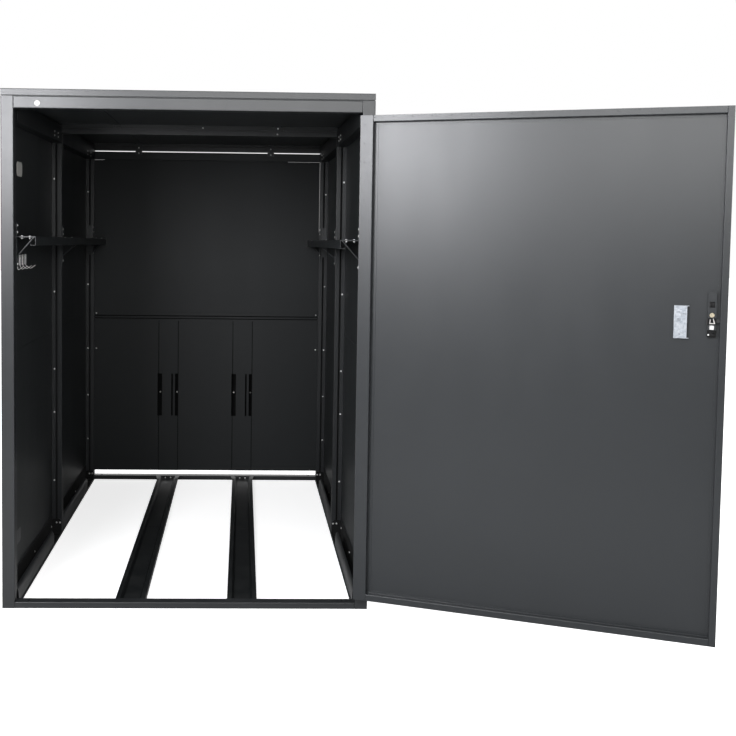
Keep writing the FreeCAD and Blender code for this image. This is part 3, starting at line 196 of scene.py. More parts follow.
def ramp(tree, value, stops):
    node = tree.nodes.new("ShaderNodeValToRGB")
    elements = node.color_ramp.elements
    while len(elements) < len(stops):
        elements.new(0.5)
    for element, (where, colour) in zip(elements, stops):
        element.position = where
        element.color = (*colour, 1)
    tree.links.new(value, node.inputs["Fac"])
    return node.outputs["Color"]


def blend(tree, factor, a, b, mode="MIX"):
    node = tree.nodes.new("ShaderNodeMix")
    node.data_type = "RGBA"
    node.blend_type = mode
    for socket, value in ((node.inputs[0], factor), (node.inputs[6], a), (node.inputs[7], b)):
        if isinstance(value, (int, float)):
            socket.default_value = value
        elif isinstance(value, tuple):
            socket.default_value = (*value, 1)
        else:
            tree.links.new(value, socket)
    return node.outputs[2]


def arith(tree, op, a, b):
    node = tree.nodes.new("ShaderNodeMath")
    node.operation = op
    for socket, value in ((node.inputs[0], a), (node.inputs[1], b)):
        if isinstance(value, (int, float)):
            socket.default_value = value
        else:
            tree.links.new(value, socket)
    return node.outputs[0]


def bump(tree, height, strength, distance, normal=None):
    node = tree.nodes.new("ShaderNodeBump")
    node.inputs["Strength"].default_value = strength
    node.inputs["Distance"].default_value = distance
    tree.links.new(height, node.inputs["Height"])
    if normal is not None:
        tree.links.new(normal, node.inputs["Normal"])
    return node.outputs["Normal"]


def limits(tree, value, low, high, soft=0.0004):
    """1 where a coordinate lies between two values, 0 elsewhere, with a short soft edge."""
    return arith(tree, "MULTIPLY", span(tree, value, 0.0, 1.0, low - soft, low + soft),
                 span(tree, value, 1.0, 0.0, high - soft, high + soft))


def powder_coat(name, colour, rough=0.42, grain=1.0, dust=0.05, level=0.5, painted_trough_shade=False, grime_and_shade=(), strength=1.0,
                shade_bands=()):
    """Satin powder coat: fine orange peel, faint cloudiness, a breath of dust and rubbed marks."""
    mat, tree, shader = new_material(name)
    vector = coords(tree)
    cloud = noise(tree, vector, 2.3, 4, 0.5)
    mottling = noise(tree, vector, 34.0, 3, 0.6)
    peel = noise(tree, vector, 620.0, 2, 0.5)
    speck = noise(tree, vector, 1500.0, 1, 0.4)
    dark = tuple(c * 0.92 for c in colour)
    pale = tuple(min(1.0, c * 1.08 + 0.001) for c in colour)
    base = ramp(tree, cloud, [(0.30, dark), (0.72, pale)])
    fleck = ramp(tree, mottling, [(0.25, tuple(c * 0.95 for c in colour)), (0.8, tuple(c * 1.06 for c in colour))])
    base = blend(tree, 0.35, base, fleck)
    # dust lies on faces that look up
    geometry = tree.nodes.new("ShaderNodeNewGeometry")
    split = tree.nodes.new("ShaderNodeSeparateXYZ")
    tree.links.new(geometry.outputs["Normal"], split.inputs["Vector"])
    up = span(tree, split.outputs["Z"], 0.0, 1.0, 0.75, 1.0)
    patches = span(tree, noise(tree, vector, 9.0, 5, 0.65), 0.0, 1.0, 0.42, 0.75)
    film = arith(tree, "MULTIPLY", arith(tree, "MULTIPLY", up, patches), dust)
    base = blend(tree, film, base, (0.30, 0.30, 0.29))
    shadow = None
    if painted_trough_shade:
        # painted shade: down inside the open troughs at the foot of the side walls, where shade falls, the coat is
        # darkened nearly to black
        place = tree.nodes.new("ShaderNodeSeparateXYZ")
        tree.links.new(vector, place.inputs["Vector"])
        away = tree.nodes.new("ShaderNodeMath")
        away.operation = "ABSOLUTE"
        tree.links.new(place.outputs["X"], away.inputs[0])
        # the flange beside the trough curves outwards at its top
        line = 0.60075
        for rise, z0, z1 in ((0.0008, 0.036, 0.045), (0.00205, 0.045, 0.0522), (0.0032, 0.0522, 0.0579),
                             (0.0037, 0.0579, 0.0613), (0.0025, 0.0613, 0.06225)):
            line = arith(tree, "ADD", line, span(tree, place.outputs["Z"], 0.0, rise, z0, z1))
        inside = span(tree, arith(tree, "SUBTRACT", away.outputs[0], line), 0.0, 1.0, -0.0002, 0.0002)
        depth = span(tree, place.outputs["Z"], 1.0, 0.0, 0.0765, 0.0790)
        shadow = arith(tree, "MULTIPLY", inside, depth)
    if grime_and_shade:
        # painted shade: the bottoms of narrow grooves, the closed inside of the wheel channels and narrow strips of the
        # posts, where shade falls, are darkened nearly to black; given as boxes (x low, x high, y low, y high), the x
        # limits counted on both sides of the middle if the first is > 0.5
        place = tree.nodes.new("ShaderNodeSeparateXYZ")
        tree.links.new(vector, place.inputs["Vector"])
        away = tree.nodes.new("ShaderNodeMath")
        away.operation = "ABSOLUTE"
        tree.links.new(place.outputs["X"], away.inputs[0])
        ahead = span(tree, split.outputs["Y"], 1.0, 0.0, 0.2, 0.5)
        for x0, x1, y0, y1 in grime_and_shade:
            across = away.outputs[0] if x0 > 0.5 else place.outputs["X"]
            zone = arith(tree, "MULTIPLY", limits(tree, across, x0, x1), limits(tree, place.outputs["Y"], y0, y1))
            if x0 < -0.5:
                zone = arith(tree, "MULTIPLY", zone, ahead)
            shadow = zone if shadow is None else arith(tree, "MAXIMUM", shadow, zone)
        shadow = arith(tree, "MULTIPLY", shadow, strength)
    if shade_bands:
        # painted shade: nearly black between two heights around the moving parts, where the inside of the lock case
        # lies in shade
        place = tree.nodes.new("ShaderNodeSeparateXYZ")
        tree.links.new(vector, place.inputs["Vector"])
        for z0, z1 in shade_bands:
            zone = limits(tree, place.outputs["Z"], z0, z1, 0.0008)
            shadow = zone if shadow is None else arith(tree, "MAXIMUM", shadow, zone)
    if shadow is not None:
        base = blend(tree, shadow, base, (0.0022, 0.0024, 0.0025))
    tree.links.new(base, shader.inputs["Base Color"])
    # long faint wipe marks in the gloss
    wipes = noise(tree, coords(tree, (5.0, 5.0, 1.2)), 1.3, 3, 0.5)
    gloss = arith(tree, "ADD", span(tree, mottling, rough - 0.02, rough + 0.02),
                  span(tree, wipes, -0.012, 0.016, 0.3, 0.7))
    gloss = arith(tree, "ADD", gloss, arith(tree, "MULTIPLY", film, 0.8))
    if shadow is not None:
        gloss = arith(tree, "ADD", gloss, arith(tree, "MULTIPLY", shadow, arith(tree, "SUBTRACT", 0.95, gloss)))
    tree.links.new(gloss, shader.inputs["Roughness"])
    shader.inputs["Specular IOR Level"].default_value = level
    edge = tree.nodes.new("ShaderNodeBevel")
    edge.samples = 4
    edge.inputs["Radius"].default_value = 0.0007
    height = arith(tree, "ADD", arith(tree, "MULTIPLY", peel, 0.8), arith(tree, "MULTIPLY", speck, 0.25))
    tree.links.new(bump(tree, height, 0.10 * grain, 0.0004, edge.outputs["Normal"]), shader.inputs["Normal"])
    return mat


def metal(name, colour, rough=0.3, stretch=(1, 1, 1), variation=0.08, tint=None, metallic=1.0):
    """Plated or turned metal with drawn lines and faint staining."""
    mat, tree, shader = new_material(name)
    lines = noise(tree, coords(tree, stretch), 420.0, 3, 0.6)
    stain = noise(tree, coords(tree), 55.0, 4, 0.6)
    base = ramp(tree, stain, [(0.25, tuple(c * (1 - variation * 2) for c in colour)),
                              (0.55, colour),
                              (0.85, tint or tuple(min(1, c * (1 + variation)) for c in colour))])
    tree.links.new(base, shader.inputs["Base Color"])
    tree.links.new(arith(tree, "ADD", span(tree, lines, rough - 0.08, rough + 0.10),
                         span(tree, stain, -0.03, 0.06)), shader.inputs["Roughness"])
    shader.inputs["Metallic"].default_value = metallic
    edge = tree.nodes.new("ShaderNodeBevel")
    edge.samples = 4
    edge.inputs["Radius"].default_value = 0.0003
    tree.links.new(bump(tree, lines, 0.12, 0.0002, edge.outputs["Normal"]), shader.inputs["Normal"])
    return mat


def clip_steel(name):
    """Bright spring steel whose bent tongue, low in the lock case, is painted black for the shade it lies in."""
    mat, tree, shader = new_material(name)
    vector = coords(tree)
    stain = noise(tree, vector, 140.0, 4, 0.6)
    base = ramp(tree, stain, [(0.3, (0.50, 0.48, 0.47)), (0.7, (0.72, 0.70, 0.69))])
    place = tree.nodes.new("ShaderNodeSeparateXYZ")
    tree.links.new(vector, place.inputs["Vector"])
    # painted shade: below this height the clip is blended to near black
    low = span(tree, place.outputs["Z"], 1.0, 0.0, 1.0560, 1.0575)
    tree.links.new(blend(tree, low, base, (0.006, 0.006, 0.0065)), shader.inputs["Base Color"])
    tree.links.new(arith(tree, "ADD", span(tree, stain, 0.30, 0.46), arith(tree, "MULTIPLY", low, 0.15)),
                   shader.inputs["Roughness"])
    shader.inputs["Metallic"].default_value = 0.5
    tree.links.new(bump(tree, stain, 0.12, 0.0002), shader.inputs["Normal"])
    return mat


def galvanised(name):
    """Zinc spangle: angular crystals of slightly different brightness, bluish, with soft white bloom."""
    mat, tree, shader = new_material(name)
    vector = coords(tree)
    warp = tree.nodes.new("ShaderNodeTexNoise")
    warp.inputs["Scale"].default_value = 60.0
    tree.links.new(vector, warp.inputs["Vector"])
    shift = tree.nodes.new("ShaderNodeVectorMath")
    shift.operation = "MULTIPLY_ADD"
    tree.links.new(warp.outputs["Color"], shift.inputs[0])
    shift.inputs[1].default_value = (0.012, 0.012, 0.012)
    tree.links.new(vector, shift.inputs[2])
    cells = tree.nodes.new("ShaderNodeTexVoronoi")
    cells.inputs["Scale"].default_value = 170.0
    cells.inputs["Randomness"].default_value = 0.95
    tree.links.new(shift.outputs["Vector"], cells.inputs["Vector"])
    grey = tree.nodes.new("ShaderNodeSeparateColor")
    tree.links.new(cells.outputs["Color"], grey.inputs["Color"])
    base = ramp(tree, grey.outputs["Red"], [(0.0, (0.34, 0.37, 0.41)), (0.45, (0.40, 0.43, 0.47)), (1.0, (0.48, 0.505, 0.54))])
    bloom = span(tree, noise(tree, vector, 38.0, 5, 0.65), 0.0, 0.55, 0.45, 0.75)
    base = blend(tree, bloom, base, (0.50, 0.515, 0.53))
    tree.links.new(base, shader.inputs["Base Color"])
    shader.inputs["Metallic"].default_value = 0.75
    tree.links.new(arith(tree, "ADD", span(tree, grey.outputs["Green"], 0.26, 0.48),
                         arith(tree, "MULTIPLY", bloom, 0.25)), shader.inputs["Roughness"])
    tree.links.new(bump(tree, grey.outputs["Blue"], 0.15, 0.0003), shader.inputs["Normal"])
    return mat


def plastic(name, colour, rough=0.3, grain=0.05):
    mat, tree, shader = new_material(name)
    vector = coords(tree)
    cloud = noise(tree, vector, 90.0, 3, 0.5)
    grime_and_shade = noise(tree, vector, 26.0, 5, 0.7)
    base = ramp(tree, cloud, [(0.3, tuple(c * 0.93 for c in colour)), (0.7, tuple(min(1, c * 1.04) for c in colour))])
    base = blend(tree, span(tree, grime_and_shade, 0.0, 0.16, 0.55, 0.8), base, tuple(c * 0.6 for c in colour))
    tree.links.new(base, shader.inputs["Base Color"])
    tree.links.new(span(tree, grime_and_shade, rough - 0.06, rough + 0.12), shader.inputs["Roughness"])
    tree.links.new(bump(tree, noise(tree, vector, 900.0, 2, 0.5), grain, 0.0003), shader.inputs["Normal"])
    return mat


# One anthracite powder coat in several copies whose colour differs part by part to paint in light and shade: the
# lighter copy for the roof liner and stringers paints light under the roof, and the darker copies for the top rails,
# the rear wall with its rail and wheel channels, and the wheel gutters paint shade
paint = powder_coat("anthracite_paint", (0.0195, 0.0222, 0.0242), 0.36, 1.0, 0.04)
paint_panel = powder_coat("anthracite_panel", (0.0250, 0.0280, 0.0290), 0.42, 1.2, 0.03, 0.46)
paint_frame = powder_coat("anthracite_frame", (0.0205, 0.0222, 0.0240), 0.33, 0.9, 0.04)
paint_deep = powder_coat("anthracite_inside", (0.0330, 0.0362, 0.0372), 0.46, 1.1, 0.03, 0.45)
paint_rail = powder_coat("anthracite_rail", (0.0150, 0.0167, 0.0175), 0.50, 1.1, 0.03, 0.34)
paint_beam = powder_coat("anthracite_beam", (0.0200, 0.0222, 0.0232), 0.42, 1.1, 0.03, 0.5)
paint_rear = powder_coat("anthracite_rear_wall", (0.0138, 0.0158, 0.0168), 0.52, 1.1, 0.03, 0.26)
# painted shade: the boxes below darken the rear rail's groove bottoms, the wheel channels' inside and strips of the
# posts
paint_rear_rail = powder_coat("anthracite_rear_rail", (0.0138, 0.0158, 0.0168), 0.50, 1.1, 0.03, 0.26,
                              grime_and_shade=((-0.65, 0.65, 0.9975, 1.0100),))
paint_channel = powder_coat("anthracite_channel", (0.0138, 0.0158, 0.0168), 0.52, 1.1, 0.03, 0.26,
                            grime_and_shade=((-0.2612, -0.1428, 0.9963, 1.0347), (0.1362, 0.2546, 0.9963, 1.0347)))
paint_post = powder_coat("anthracite_post", (0.0190, 0.0208, 0.0224), 0.36, 0.9, 0.04, 0.42,
                         grime_and_shade=((0.6187, 0.6278, -0.0547, -0.0425), (0.6187, 0.6278, 0.9913, 1.0035),
                                (0.6437, 0.6470, -0.0547, -0.0425), (0.6437, 0.6470, 0.9913, 1.0035)), strength=0.85)
# painted shade: this copy darkens the inside of the floor-beam troughs nearly to black
paint_trough = powder_coat("anthracite_trough", (0.0195, 0.0218, 0.0235), 0.34, 0.9, 0.05, 0.5, True)
paint_door = powder_coat("anthracite_door", (0.0190, 0.0216, 0.0242), 0.335, 1.0, 0.02)
paint_gutter = powder_coat("anthracite_gutter", (0.0100, 0.0114, 0.0120), 0.38, 0.7, 0.05, 0.34)
black_coat = powder_coat("black_fine_texture", (0.010, 0.010, 0.011), 0.48, 1.8, 0.05)
zinc = metal("zinc_plated_steel", (0.80, 0.80, 0.79), 0.36, (1, 1, 1), 0.06, (0.86, 0.86, 0.84), 0.55)
turned_brass = metal("turned_brass", (0.62, 0.55, 0.41), 0.34, (1, 12, 1), 0.08, (0.70, 0.64, 0.52), 0.9)
# painted shade: the lock case is blended nearly to black in two height bands
paint_case = powder_coat("anthracite_lock_case", (0.0190, 0.0216, 0.0242), 0.335, 1.0, 0.02, 0.5,
                         shade_bands=((1.0300, 1.0548), (1.0702, 1.0925)))
spring = clip_steel("spring_steel")
spangle = galvanised("galvanised_spangle")
white_coat = plastic("white_coating", (0.94, 0.94, 0.93), 0.26, 0.04)
pale = plastic("pale_plug_plastic", (0.62, 0.61, 0.58), 0.30, 0.05)
grey_plug = plastic("grey_plug_plastic", (0.085, 0.088, 0.088), 0.34, 0.05)

by_node = {}
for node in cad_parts:
    by_node[node] = paint
for node in ("front_post_left", "front_post_right", "front_lintel", "front_sill", "mid_post_left", "mid_post_right",
             "rear_post_left", "rear_post_right", "mid_roof_beam", "rear_roof_beam", "rear_floor_beam", "roof_cap",
             "rear_top_rail", "hinge_frame_leaves", "hinge_door_leaves"):
    by_node[node] = paint_frame
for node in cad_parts:
    if node.startswith("side_panel"):
        by_node[node] = paint_panel
    if node.startswith("top_rail") or node == "rear_top_rail":
        by_node[node] = paint_rail
    if node in ("mid_roof_beam", "rear_roof_beam", "roof_brackets"):
        by_node[node] = paint_beam
    if node in ("roof_liner", "roof_stringers"):
        by_node[node] = paint_deep
    if node in ("rear_upper_panel", "rear_lower_panels"):
        by_node[node] = paint_rear
    if node.startswith("wheel_channel"):
        by_node[node] = paint_channel
    if node.startswith(("mid_post", "rear_post")):
        by_node[node] = paint_post
    if node.startswith("floor_b"):
        by_node[node] = paint_trough
    if node.startswith("door_"):
        by_node[node] = paint_door
    if node.startswith("wheel_gutter"):
        by_node[node] = paint_gutter
by_node.update({
    "door_pull_guard": spangle, "lock_cylinder": turned_brass, "lock_plug": turned_brass, "handle_plate": black_coat,
    "handle_lever": black_coat, "lock_case": paint_case, "latch_bolt": black_coat, "rear_mid_rail": paint_rear_rail, "lever_pin": zinc, "lock_clip": spring,
    "handle_spindle": zinc, "hinge_pins": zinc, "frame_screws": zinc, "bag_hooks": white_coat, "blanking_plugs": pale})
for node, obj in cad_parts.items():
    obj.data.materials.clear()
    obj.data.materials.append(by_node[node])

# ---------------------------------------------------------------- screw and rivet heads
heads = Pile()
for k in (-1, 1):
    inward = (1, 0, 0) if k < 0 else (-1, 0, 0)
    front = (0, -1, 0)
    for z in (1565, 1073, 732, 540, 236):
        screw_head(heads, fixed(632.5 * k, 980, z), front, spin=random.random())
    for z in (1546, 1054, 712, 460, 222):
        screw_head(heads, fixed(632.5 * k, 2026, z), front, spin=random.random())
    for y, z0, z1 in ((800, 1755, 1738), (884, 1755, 1738), (1775, 1743, 1727), (1887, 1743, 1727)):
        screw_head(heads, fixed(600 * k, y, z0), inward, spin=random.random())
        screw_head(heads, fixed(600 * k, y, z1), inward, spin=random.random())
    for y, z in ((576, 34.3), (962, 30), (1657, 22)):
        screw_head(heads, fixed(643.5 * k, y, z), inward, spin=random.random())
    for y, z in ((977.5, 46), (2023.5, 32)):
        screw_head(heads, fixed(607.5 * k, y, z), front, spin=random.random())
        screw_head(heads, fixed(623 * k, y, z), front, spin=random.random())
    for z in (1346, 1325, 1209):
        screw_head(heads, fixed(597.5 * k, 1002, z), inward, spin=random.random())
    for z in (1358, 1334, 1222):
        screw_head(heads, fixed(603.5 * k, 57, z), inward, spin=random.random())
        screw_head(heads, fixed(603.5 * k, 2014, z), inward, spin=random.random())
    for y in (57, 1002, 2014):
        for x in (560, 588):
            screw_head(heads, fixed(x * k, y, 1320 - (y - 53) * 0.0105), (0, 0, 1), spin=random.random())
    for dx in (-14, 15):
        screw_head(heads, fixed(201 * k + dx, 2024, 12), front, 3.8, 2.0, random.random())
    for z in (899, 712):
        rivet_head(heads, fixed(588 * k, 2031, z), front)
    for dx in (-45.7, 45):
        rivet_head(heads, fixed((-202 if k < 0 else 195.4) + dx, 2069.5, 472), front, 4.2, 2.0)
    for z in (1782, 1753):
        screw_head(heads, fixed(-364.5 if k < 0 else 335.5, 2024, z), front, 3.6, 1.9, random.random())
screw_head(heads, fixed(340.5, 978, 1795), front, 3.6, 1.9, 0.4)
screw_head(heads, fixed(338, 980, 1770), front, 3.6, 1.9, 0.9)
rivet_head(heads, fixed(12.8, 980, 1793.5), front)
screws = build("frame_screw_heads", heads.verts, heads.faces, "locker", zinc, auto=40)
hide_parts("frame_screws")

# ---------------------------------------------------------------- spot welds on the door's flanges
dots = Pile()


def weld_dot(x, y, z, outward, radius=2.6):
    """A shallow dished spot weld: a thin raised lip round a slightly sunk middle."""
    count = 18
    rings = []
    for r, h in ((radius, 0.0), (radius * 0.93, 0.20), (radius * 0.80, 0.26), (radius * 0.62, 0.09), (radius * 0.25, 0.05)):
        rings.append([leaf(x + r * math.cos(2 * math.pi * i / count), y + outward * h,
                           z + r * math.sin(2 * math.pi * i / count)) for i in range(count)])
    dots.rings(rings, cap_first=False)


x = 550.0
while x > -560:
    weld_dot(x, 25.0, 1743.0, 1)
    weld_dot(x, 25.0, 55.5, 1)
    x -= 66.5
z = 1718.0
while z > 70:
    weld_dot(585.0, 25.0, z, 1)
    weld_dot(-584.0, 25.0, z, 1)
    z -= 64.5
build("door_spot_welds", dots.verts, dots.faces, "door", paint_door)

# ---------------------------------------------------------------- nuts and washers under the shelves
def nut(pile, at, direction, across=10.0, height=5.0, spin=0.0):
    """Hexagon nut on a thin washer, its corners rounded off, with the bolt's end showing in the middle."""
    u, v, w = axes_of(direction)

    def circle(r, h, hexagon, count=24):
        out = []
        for i in range(count):
            a = 2 * math.pi * i / count
            b = a % (math.pi / 3) - math.pi / 6
            rr = r * (1 - hexagon + hexagon * math.cos(math.pi / 6) / math.cos(b))
            out.append(at + (u * math.cos(a + spin) + v * math.sin(a + spin)) * (rr / 1000) + w * (h / 1000))
        return out

    wide = across / math.cos(math.pi / 6) / 2
    pile.rings([circle(across * 0.62, 0, 0), circle(across * 0.62, 0.9, 0), circle(across * 0.585, 1.1, 0),
                circle(wide * 0.93, 1.1, 1), circle(wide, 1.8, 1), circle(wide, height - 0.7, 1),
                circle(wide * 0.90, height, 1), circle(across * 0.31, height, 0), circle(across * 0.30, height + 1.5, 0),
                circle(across * 0.24, height + 2.0, 0)], cap_first=False)


nuts = Pile()
for k in (-1, 1):
    for y in (57, 2014):
        for x in (560, 588):
            nut(nuts, fixed(x * k, y, 1316.0 - (y - 53) * 0.0105), (0, 0, -1), 6.5, 3.6, random.random())
build("shelf_nuts", nuts.verts, nuts.faces, "locker", zinc, auto=40)

# ---------------------------------------------------------------- plugs
def plug_disc(name, middle, u, v, w, half_u, half_v, corner, height, material):
    """Snap-in cover: domed face with a rolled rim and a shallow ring, and a stem through the sheet."""
    pile = Pile()

    def outline(inset, h, count=10):
        out = []
        r = max(0.6, corner - inset)
        for cu, cv, start in ((1, 1, 0), (-1, 1, 90), (-1, -1, 180), (1, -1, 270)):
            for i in range(count):
                a = math.radians(start + 90 * i / (count - 1))
                pu = cu * (half_u - corner) + r * math.cos(a)
                pv = cv * (half_v - corner) + r * math.sin(a)
                out.append(middle + (u * pu + v * pv + w * h) / 1000)
        return out

    stem = corner > 12
    pile.rings([outline(4.4 if stem else 2.4, -1.4), outline(4.3 if stem else 2.2, 0.0), outline(0.15, 0.0),
                outline(0.0, height * 0.3), outline(0.25, height * 0.62), outline(0.9, height * 0.9),
                outline(1.6, height), outline(2.4, height * 0.98), outline(2.9, height * 0.72),
                outline(3.6, height * 0.68), outline(4.4, height * 0.86), outline(6.5, height * 0.93),
                outline(9.0, height)])
    obj = build(name, pile.verts, pile.faces, "locker", material, auto=50)
    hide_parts("blanking_plugs")


plug_disc("lintel_plug", fixed(-523.4, 0, 1780), Vector((1, 0, 0)), Vector((0, 0, 1)), Vector((0, -1, 0)), 10, 10, 10, 1.5,
          pale)
plug_disc("cable_entry_plug_high", fixed(-645, 296, 1568), Vector((0, 1, 0)), Vector((0, 0, 1)), Vector((1, 0, 0)),
          48, 27, 15, 1.2, pale)
plug_disc("cable_entry_plug_low", fixed(-645, 252.5, 188), Vector((0, 1, 0)), Vector((0, 0, 1)), Vector((1, 0, 0)),
          51.5, 27, 15, 1.2, grey_plug)

# ---------------------------------------------------------------- bag hooks
hooks = Pile()


def slab(pile, points, u, v, w, thick, round_off=0.5):
    """A flat plate of any outline, with its edges broken on both faces."""
    middle = sum((Vector(p) for p in points), Vector((0, 0, 0))) / len(points)

    def at(shrink, h):
        out = []
        for p in points:
            q = Vector(p) - middle
            q = q * (1 - shrink / max(q.length, 1e-6)) + middle
            out.append((u * q.x + v * q.y + w * h) / 1000)
        return out

    return [at(round_off, 0), at(0, round_off), at(0, thick - round_off), at(round_off, thick)]


for i, reach in enumerate((7, 11, 16, 21)):
    y0 = 228 + 52 * i
    # wall plate with rounded corners
    outline = []
    for cy, cz, start in ((y0 + 25, 1244, 0), (y0 + 9, 1244, 90), (y0 + 9, 1214, 180), (y0 + 25, 1214, 270)):
        for j in range(7):
            a = math.radians(start + 15 * j)
            outline.append((cy + 5 * math.cos(a) - BACK, cz + 5 * math.sin(a), 0))
    hooks.rings([[p + Vector((-0.645, 0, 0)) for p in ring]
                 for ring in slab(hooks, outline, Vector((0, 1, 0)), Vector((0, 0, 1)), Vector((1, 0, 0)), 2.5)])
    # the arm: a flat strip bent down and out again, narrowing a little to its rounded tip
    root = -645 + reach
    path = [(-643.6, 1216), (-643.3, 1211), (-642.2, 1206.5)]
    path += [(-642.2 + (root - 2.2 + 642.2) * t, 1206.5 - 11.0 * t ** 0.8) for t in (0.3, 0.6, 0.85)]
    path += [(root - 1.0, 1194.9), (root + 0.6, 1194.7), (root + 2.4, 1195.7), (root + 8, 1199.6), (root + 14, 1203.7),
             (root + 18.4, 1206.8)]
    rings = []
    for j, (x, z) in enumerate(path):
        before, after = path[max(j - 1, 0)], path[min(j + 1, len(path) - 1)]
        tangent = Vector((after[0] - before[0], 0, after[1] - before[1])).normalized()
        normal = Vector((-tangent.z, 0, tangent.x))
        wide = 3.4 if j < len(path) - 2 else (3.1 if j == len(path) - 2 else 2.4)
        thick = 0.85
        ring = []
        for n in range(16):
            a = 2 * math.pi * n / 16
            c, sn = math.cos(a), math.sin(a)
            cc = math.copysign(abs(c) ** 0.45, c)
            ss = math.copysign(abs(sn) ** 0.7, sn)
            ring.append(fixed(x, y0 + 17, z) + (Vector((0, 1, 0)) * (wide * cc) + normal * (thick * ss)) / 1000)
        rings.append(ring)
    hooks.rings(rings)
    screw_head(hooks, fixed(-642.5, y0 + 17, 1236), (1, 0, 0), 3.4, 1.6, 0.3 * i)
obj = build("bag_hook_set", hooks.verts, hooks.faces, "locker", white_coat, auto=45)
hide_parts("bag_hooks")

# ---------------------------------------------------------------- hinge pins
pins = Pile()
for z in (260, 900, 1540):
    rings = []
    for r, h in ((1.2, -34.0), (3.4, -34.0), (4.6, -33.4), (4.9, -32.9), (4.8, -32.4), (4.3, -32.1), (3.0, -32.0),
                 (3.0, 32.3), (4.4, 32.3), (4.9, 32.7), (4.8, 33.5), (4.2, 34.1), (3.2, 34.45), (1.6, 34.5)):
        rings.append([fixed(603 + r * math.cos(2 * math.pi * i / 28), -6 + r * math.sin(2 * math.pi * i / 28), z + h)
                      for i in range(28)])
    pins.rings(rings)
obj = build("hinge_pin_set", pins.verts, pins.faces, "locker", zinc, auto=40)
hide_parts("hinge_pins")

# ---------------------------------------------------------------- lever
LOCK_X, SPINDLE = -548.0, 1062.5


def lever_shape():
    """Cast lever: a long body, waisted behind the hub and narrowing a little to a rounded end, its section a box with
    rounded corners. The end near the spindle is a fork of two cheeks around the spindle's head."""
    pile = Pile()

    def section(x, z0, z1, y_out, y_in, soft):
        """Rounded box section in the plane across the lever, seen along it."""
        ring = []
        for cz, cy, start in ((z1 - soft, y_in - soft, 0), (z0 + soft, y_in - soft, 90), (z0 + soft, y_out + soft, 180),
                              (z1 - soft, y_out + soft, 270)):
            for j in range(6):
                a = math.radians(start + 18 * j)
                ring.append(leaf(x, cy + soft * math.sin(a) if start in (0, 90) else cy + soft * math.sin(a),
                                 cz + soft * math.cos(a)))
        return ring

    rings = []
    for t in [i / 26 for i in range(27)]:
        x = LOCK_X + 9.2 + (117.6 - 9.2) * t
        half = 11.9 - 2.6 * min(1.0, max(0.0, (t - 0.05) / 0.45)) ** 1.3
        if t > 0.55:
            half = 9.3 - 0.5 * (t - 0.55) / 0.45
        if t > 0.90:
            half *= math.sqrt(max(0.02, 1 - ((t - 0.90) / 0.10) ** 2 * 0.62))
        crown = 0.9 * min(1.0, t * 4)
        out = -16.4 + (0 if t < 0.12 else min(1.4, (t - 0.12) * 3)) if t < 0.5 else -15.0 - 0.0
        out = -16.35 + 1.2 * math.sin(math.pi * min(1.0, t)) * 0.8
        inner = -7.85 - 0.5 * math.sin(math.pi * min(1.0, t))
        soft = min(2.6, half * 0.45)
        if t > 0.94:
            out += (t - 0.94) / 0.06 * 1.4
            inner -= (t - 0.94) / 0.06 * 0.9
        rings.append(section(x, SPINDLE - half, SPINDLE + half, out, inner, soft))
    pile.rings(rings)
    for sign in (-1, 1):
        low, high = sorted((SPINDLE + sign * 5.9, SPINDLE + sign * 11.9))
        rings = []
        for x, y_out, y_in, soft in ((LOCK_X - 3.9, -14.2, -9.2, 1.0), (LOCK_X - 3.2, -15.6, -8.2, 1.3),
                                     (LOCK_X - 1.6, -16.3, -7.9, 1.5), (LOCK_X + 2.0, -16.35, -7.85, 1.6),
                                     (LOCK_X + 10.2, -16.3, -7.9, 1.6)):
            rings.append(section(x, low, high, y_out, y_in, soft))
        pile.rings(rings)
    return pile


lever_pile = lever_shape()
obj = build("cast_lever", lever_pile.verts, lever_pile.faces, "lever", black_coat, auto=40)
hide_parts("handle_lever")

# ---------------------------------------------------------------- lock case fittings
small_parts = Pile()
# painted highlight: this screw head is white-coated so that it shows the bright glint of a lit screw
screw_head(small_parts, leaf(LOCK_X + 9.2, 19.6, 1039.5), TURN @ Vector((0, 1, 0)), 2.6, 1.3, 0.5)
obj = build("lock_case_screw", small_parts.verts, small_parts.faces, "door", white_coat)

# painted shade: thin black pads on the door skin inside the lock case stand in for the shade there, clear of spindle
# and cylinder
shade_pads = Pile()


def shade_pad(x0, x1, z0, z1, corner=3.0):
    rings = []
    for inset, y in ((0.5, 1.55), (0.0, 1.85), (0.0, 2.25), (0.5, 2.6)):
        ring = []
        for cx, cz, start in ((x1, z1, 0), (x0, z1, 90), (x0, z0, 180), (x1, z0, 270)):
            sx, sz = (-1 if cx == x1 else 1), (-1 if cz == z1 else 1)
            for i in range(6):
                a = math.radians(start + 18 * i)
                ring.append(leaf(cx + sx * corner + (corner - inset) * math.cos(a), y,
                                 cz + sz * corner + (corner - inset) * math.sin(a)))
        rings.append(ring)
    shade_pads.rings(rings)


shade_pad(LOCK_X - 12.4, LOCK_X + 10.6, 1034.2, 1049.4)
shade_pad(LOCK_X - 12.4, LOCK_X + 10.6, 1076.0, 1090.4)
shade_pad(LOCK_X - 12.4, LOCK_X + 10.6, 1112.6, 1170.8)
build("lock_case_shade_pads", shade_pads.verts, shade_pads.faces, "door", black_coat, auto=50)

# ---------------------------------------------------------------- stage, light, camera
FRONT_ROOM = 0.47


def plane(name, verts, material):
    mesh = bpy.data.meshes.new(name)
    mesh.from_pydata(verts, [], [(0, 1, 2, 3)])
    obj = bpy.data.objects.new(name, mesh)
    bpy.context.scene.collection.objects.link(obj)
    mesh.materials.append(material)
    return obj


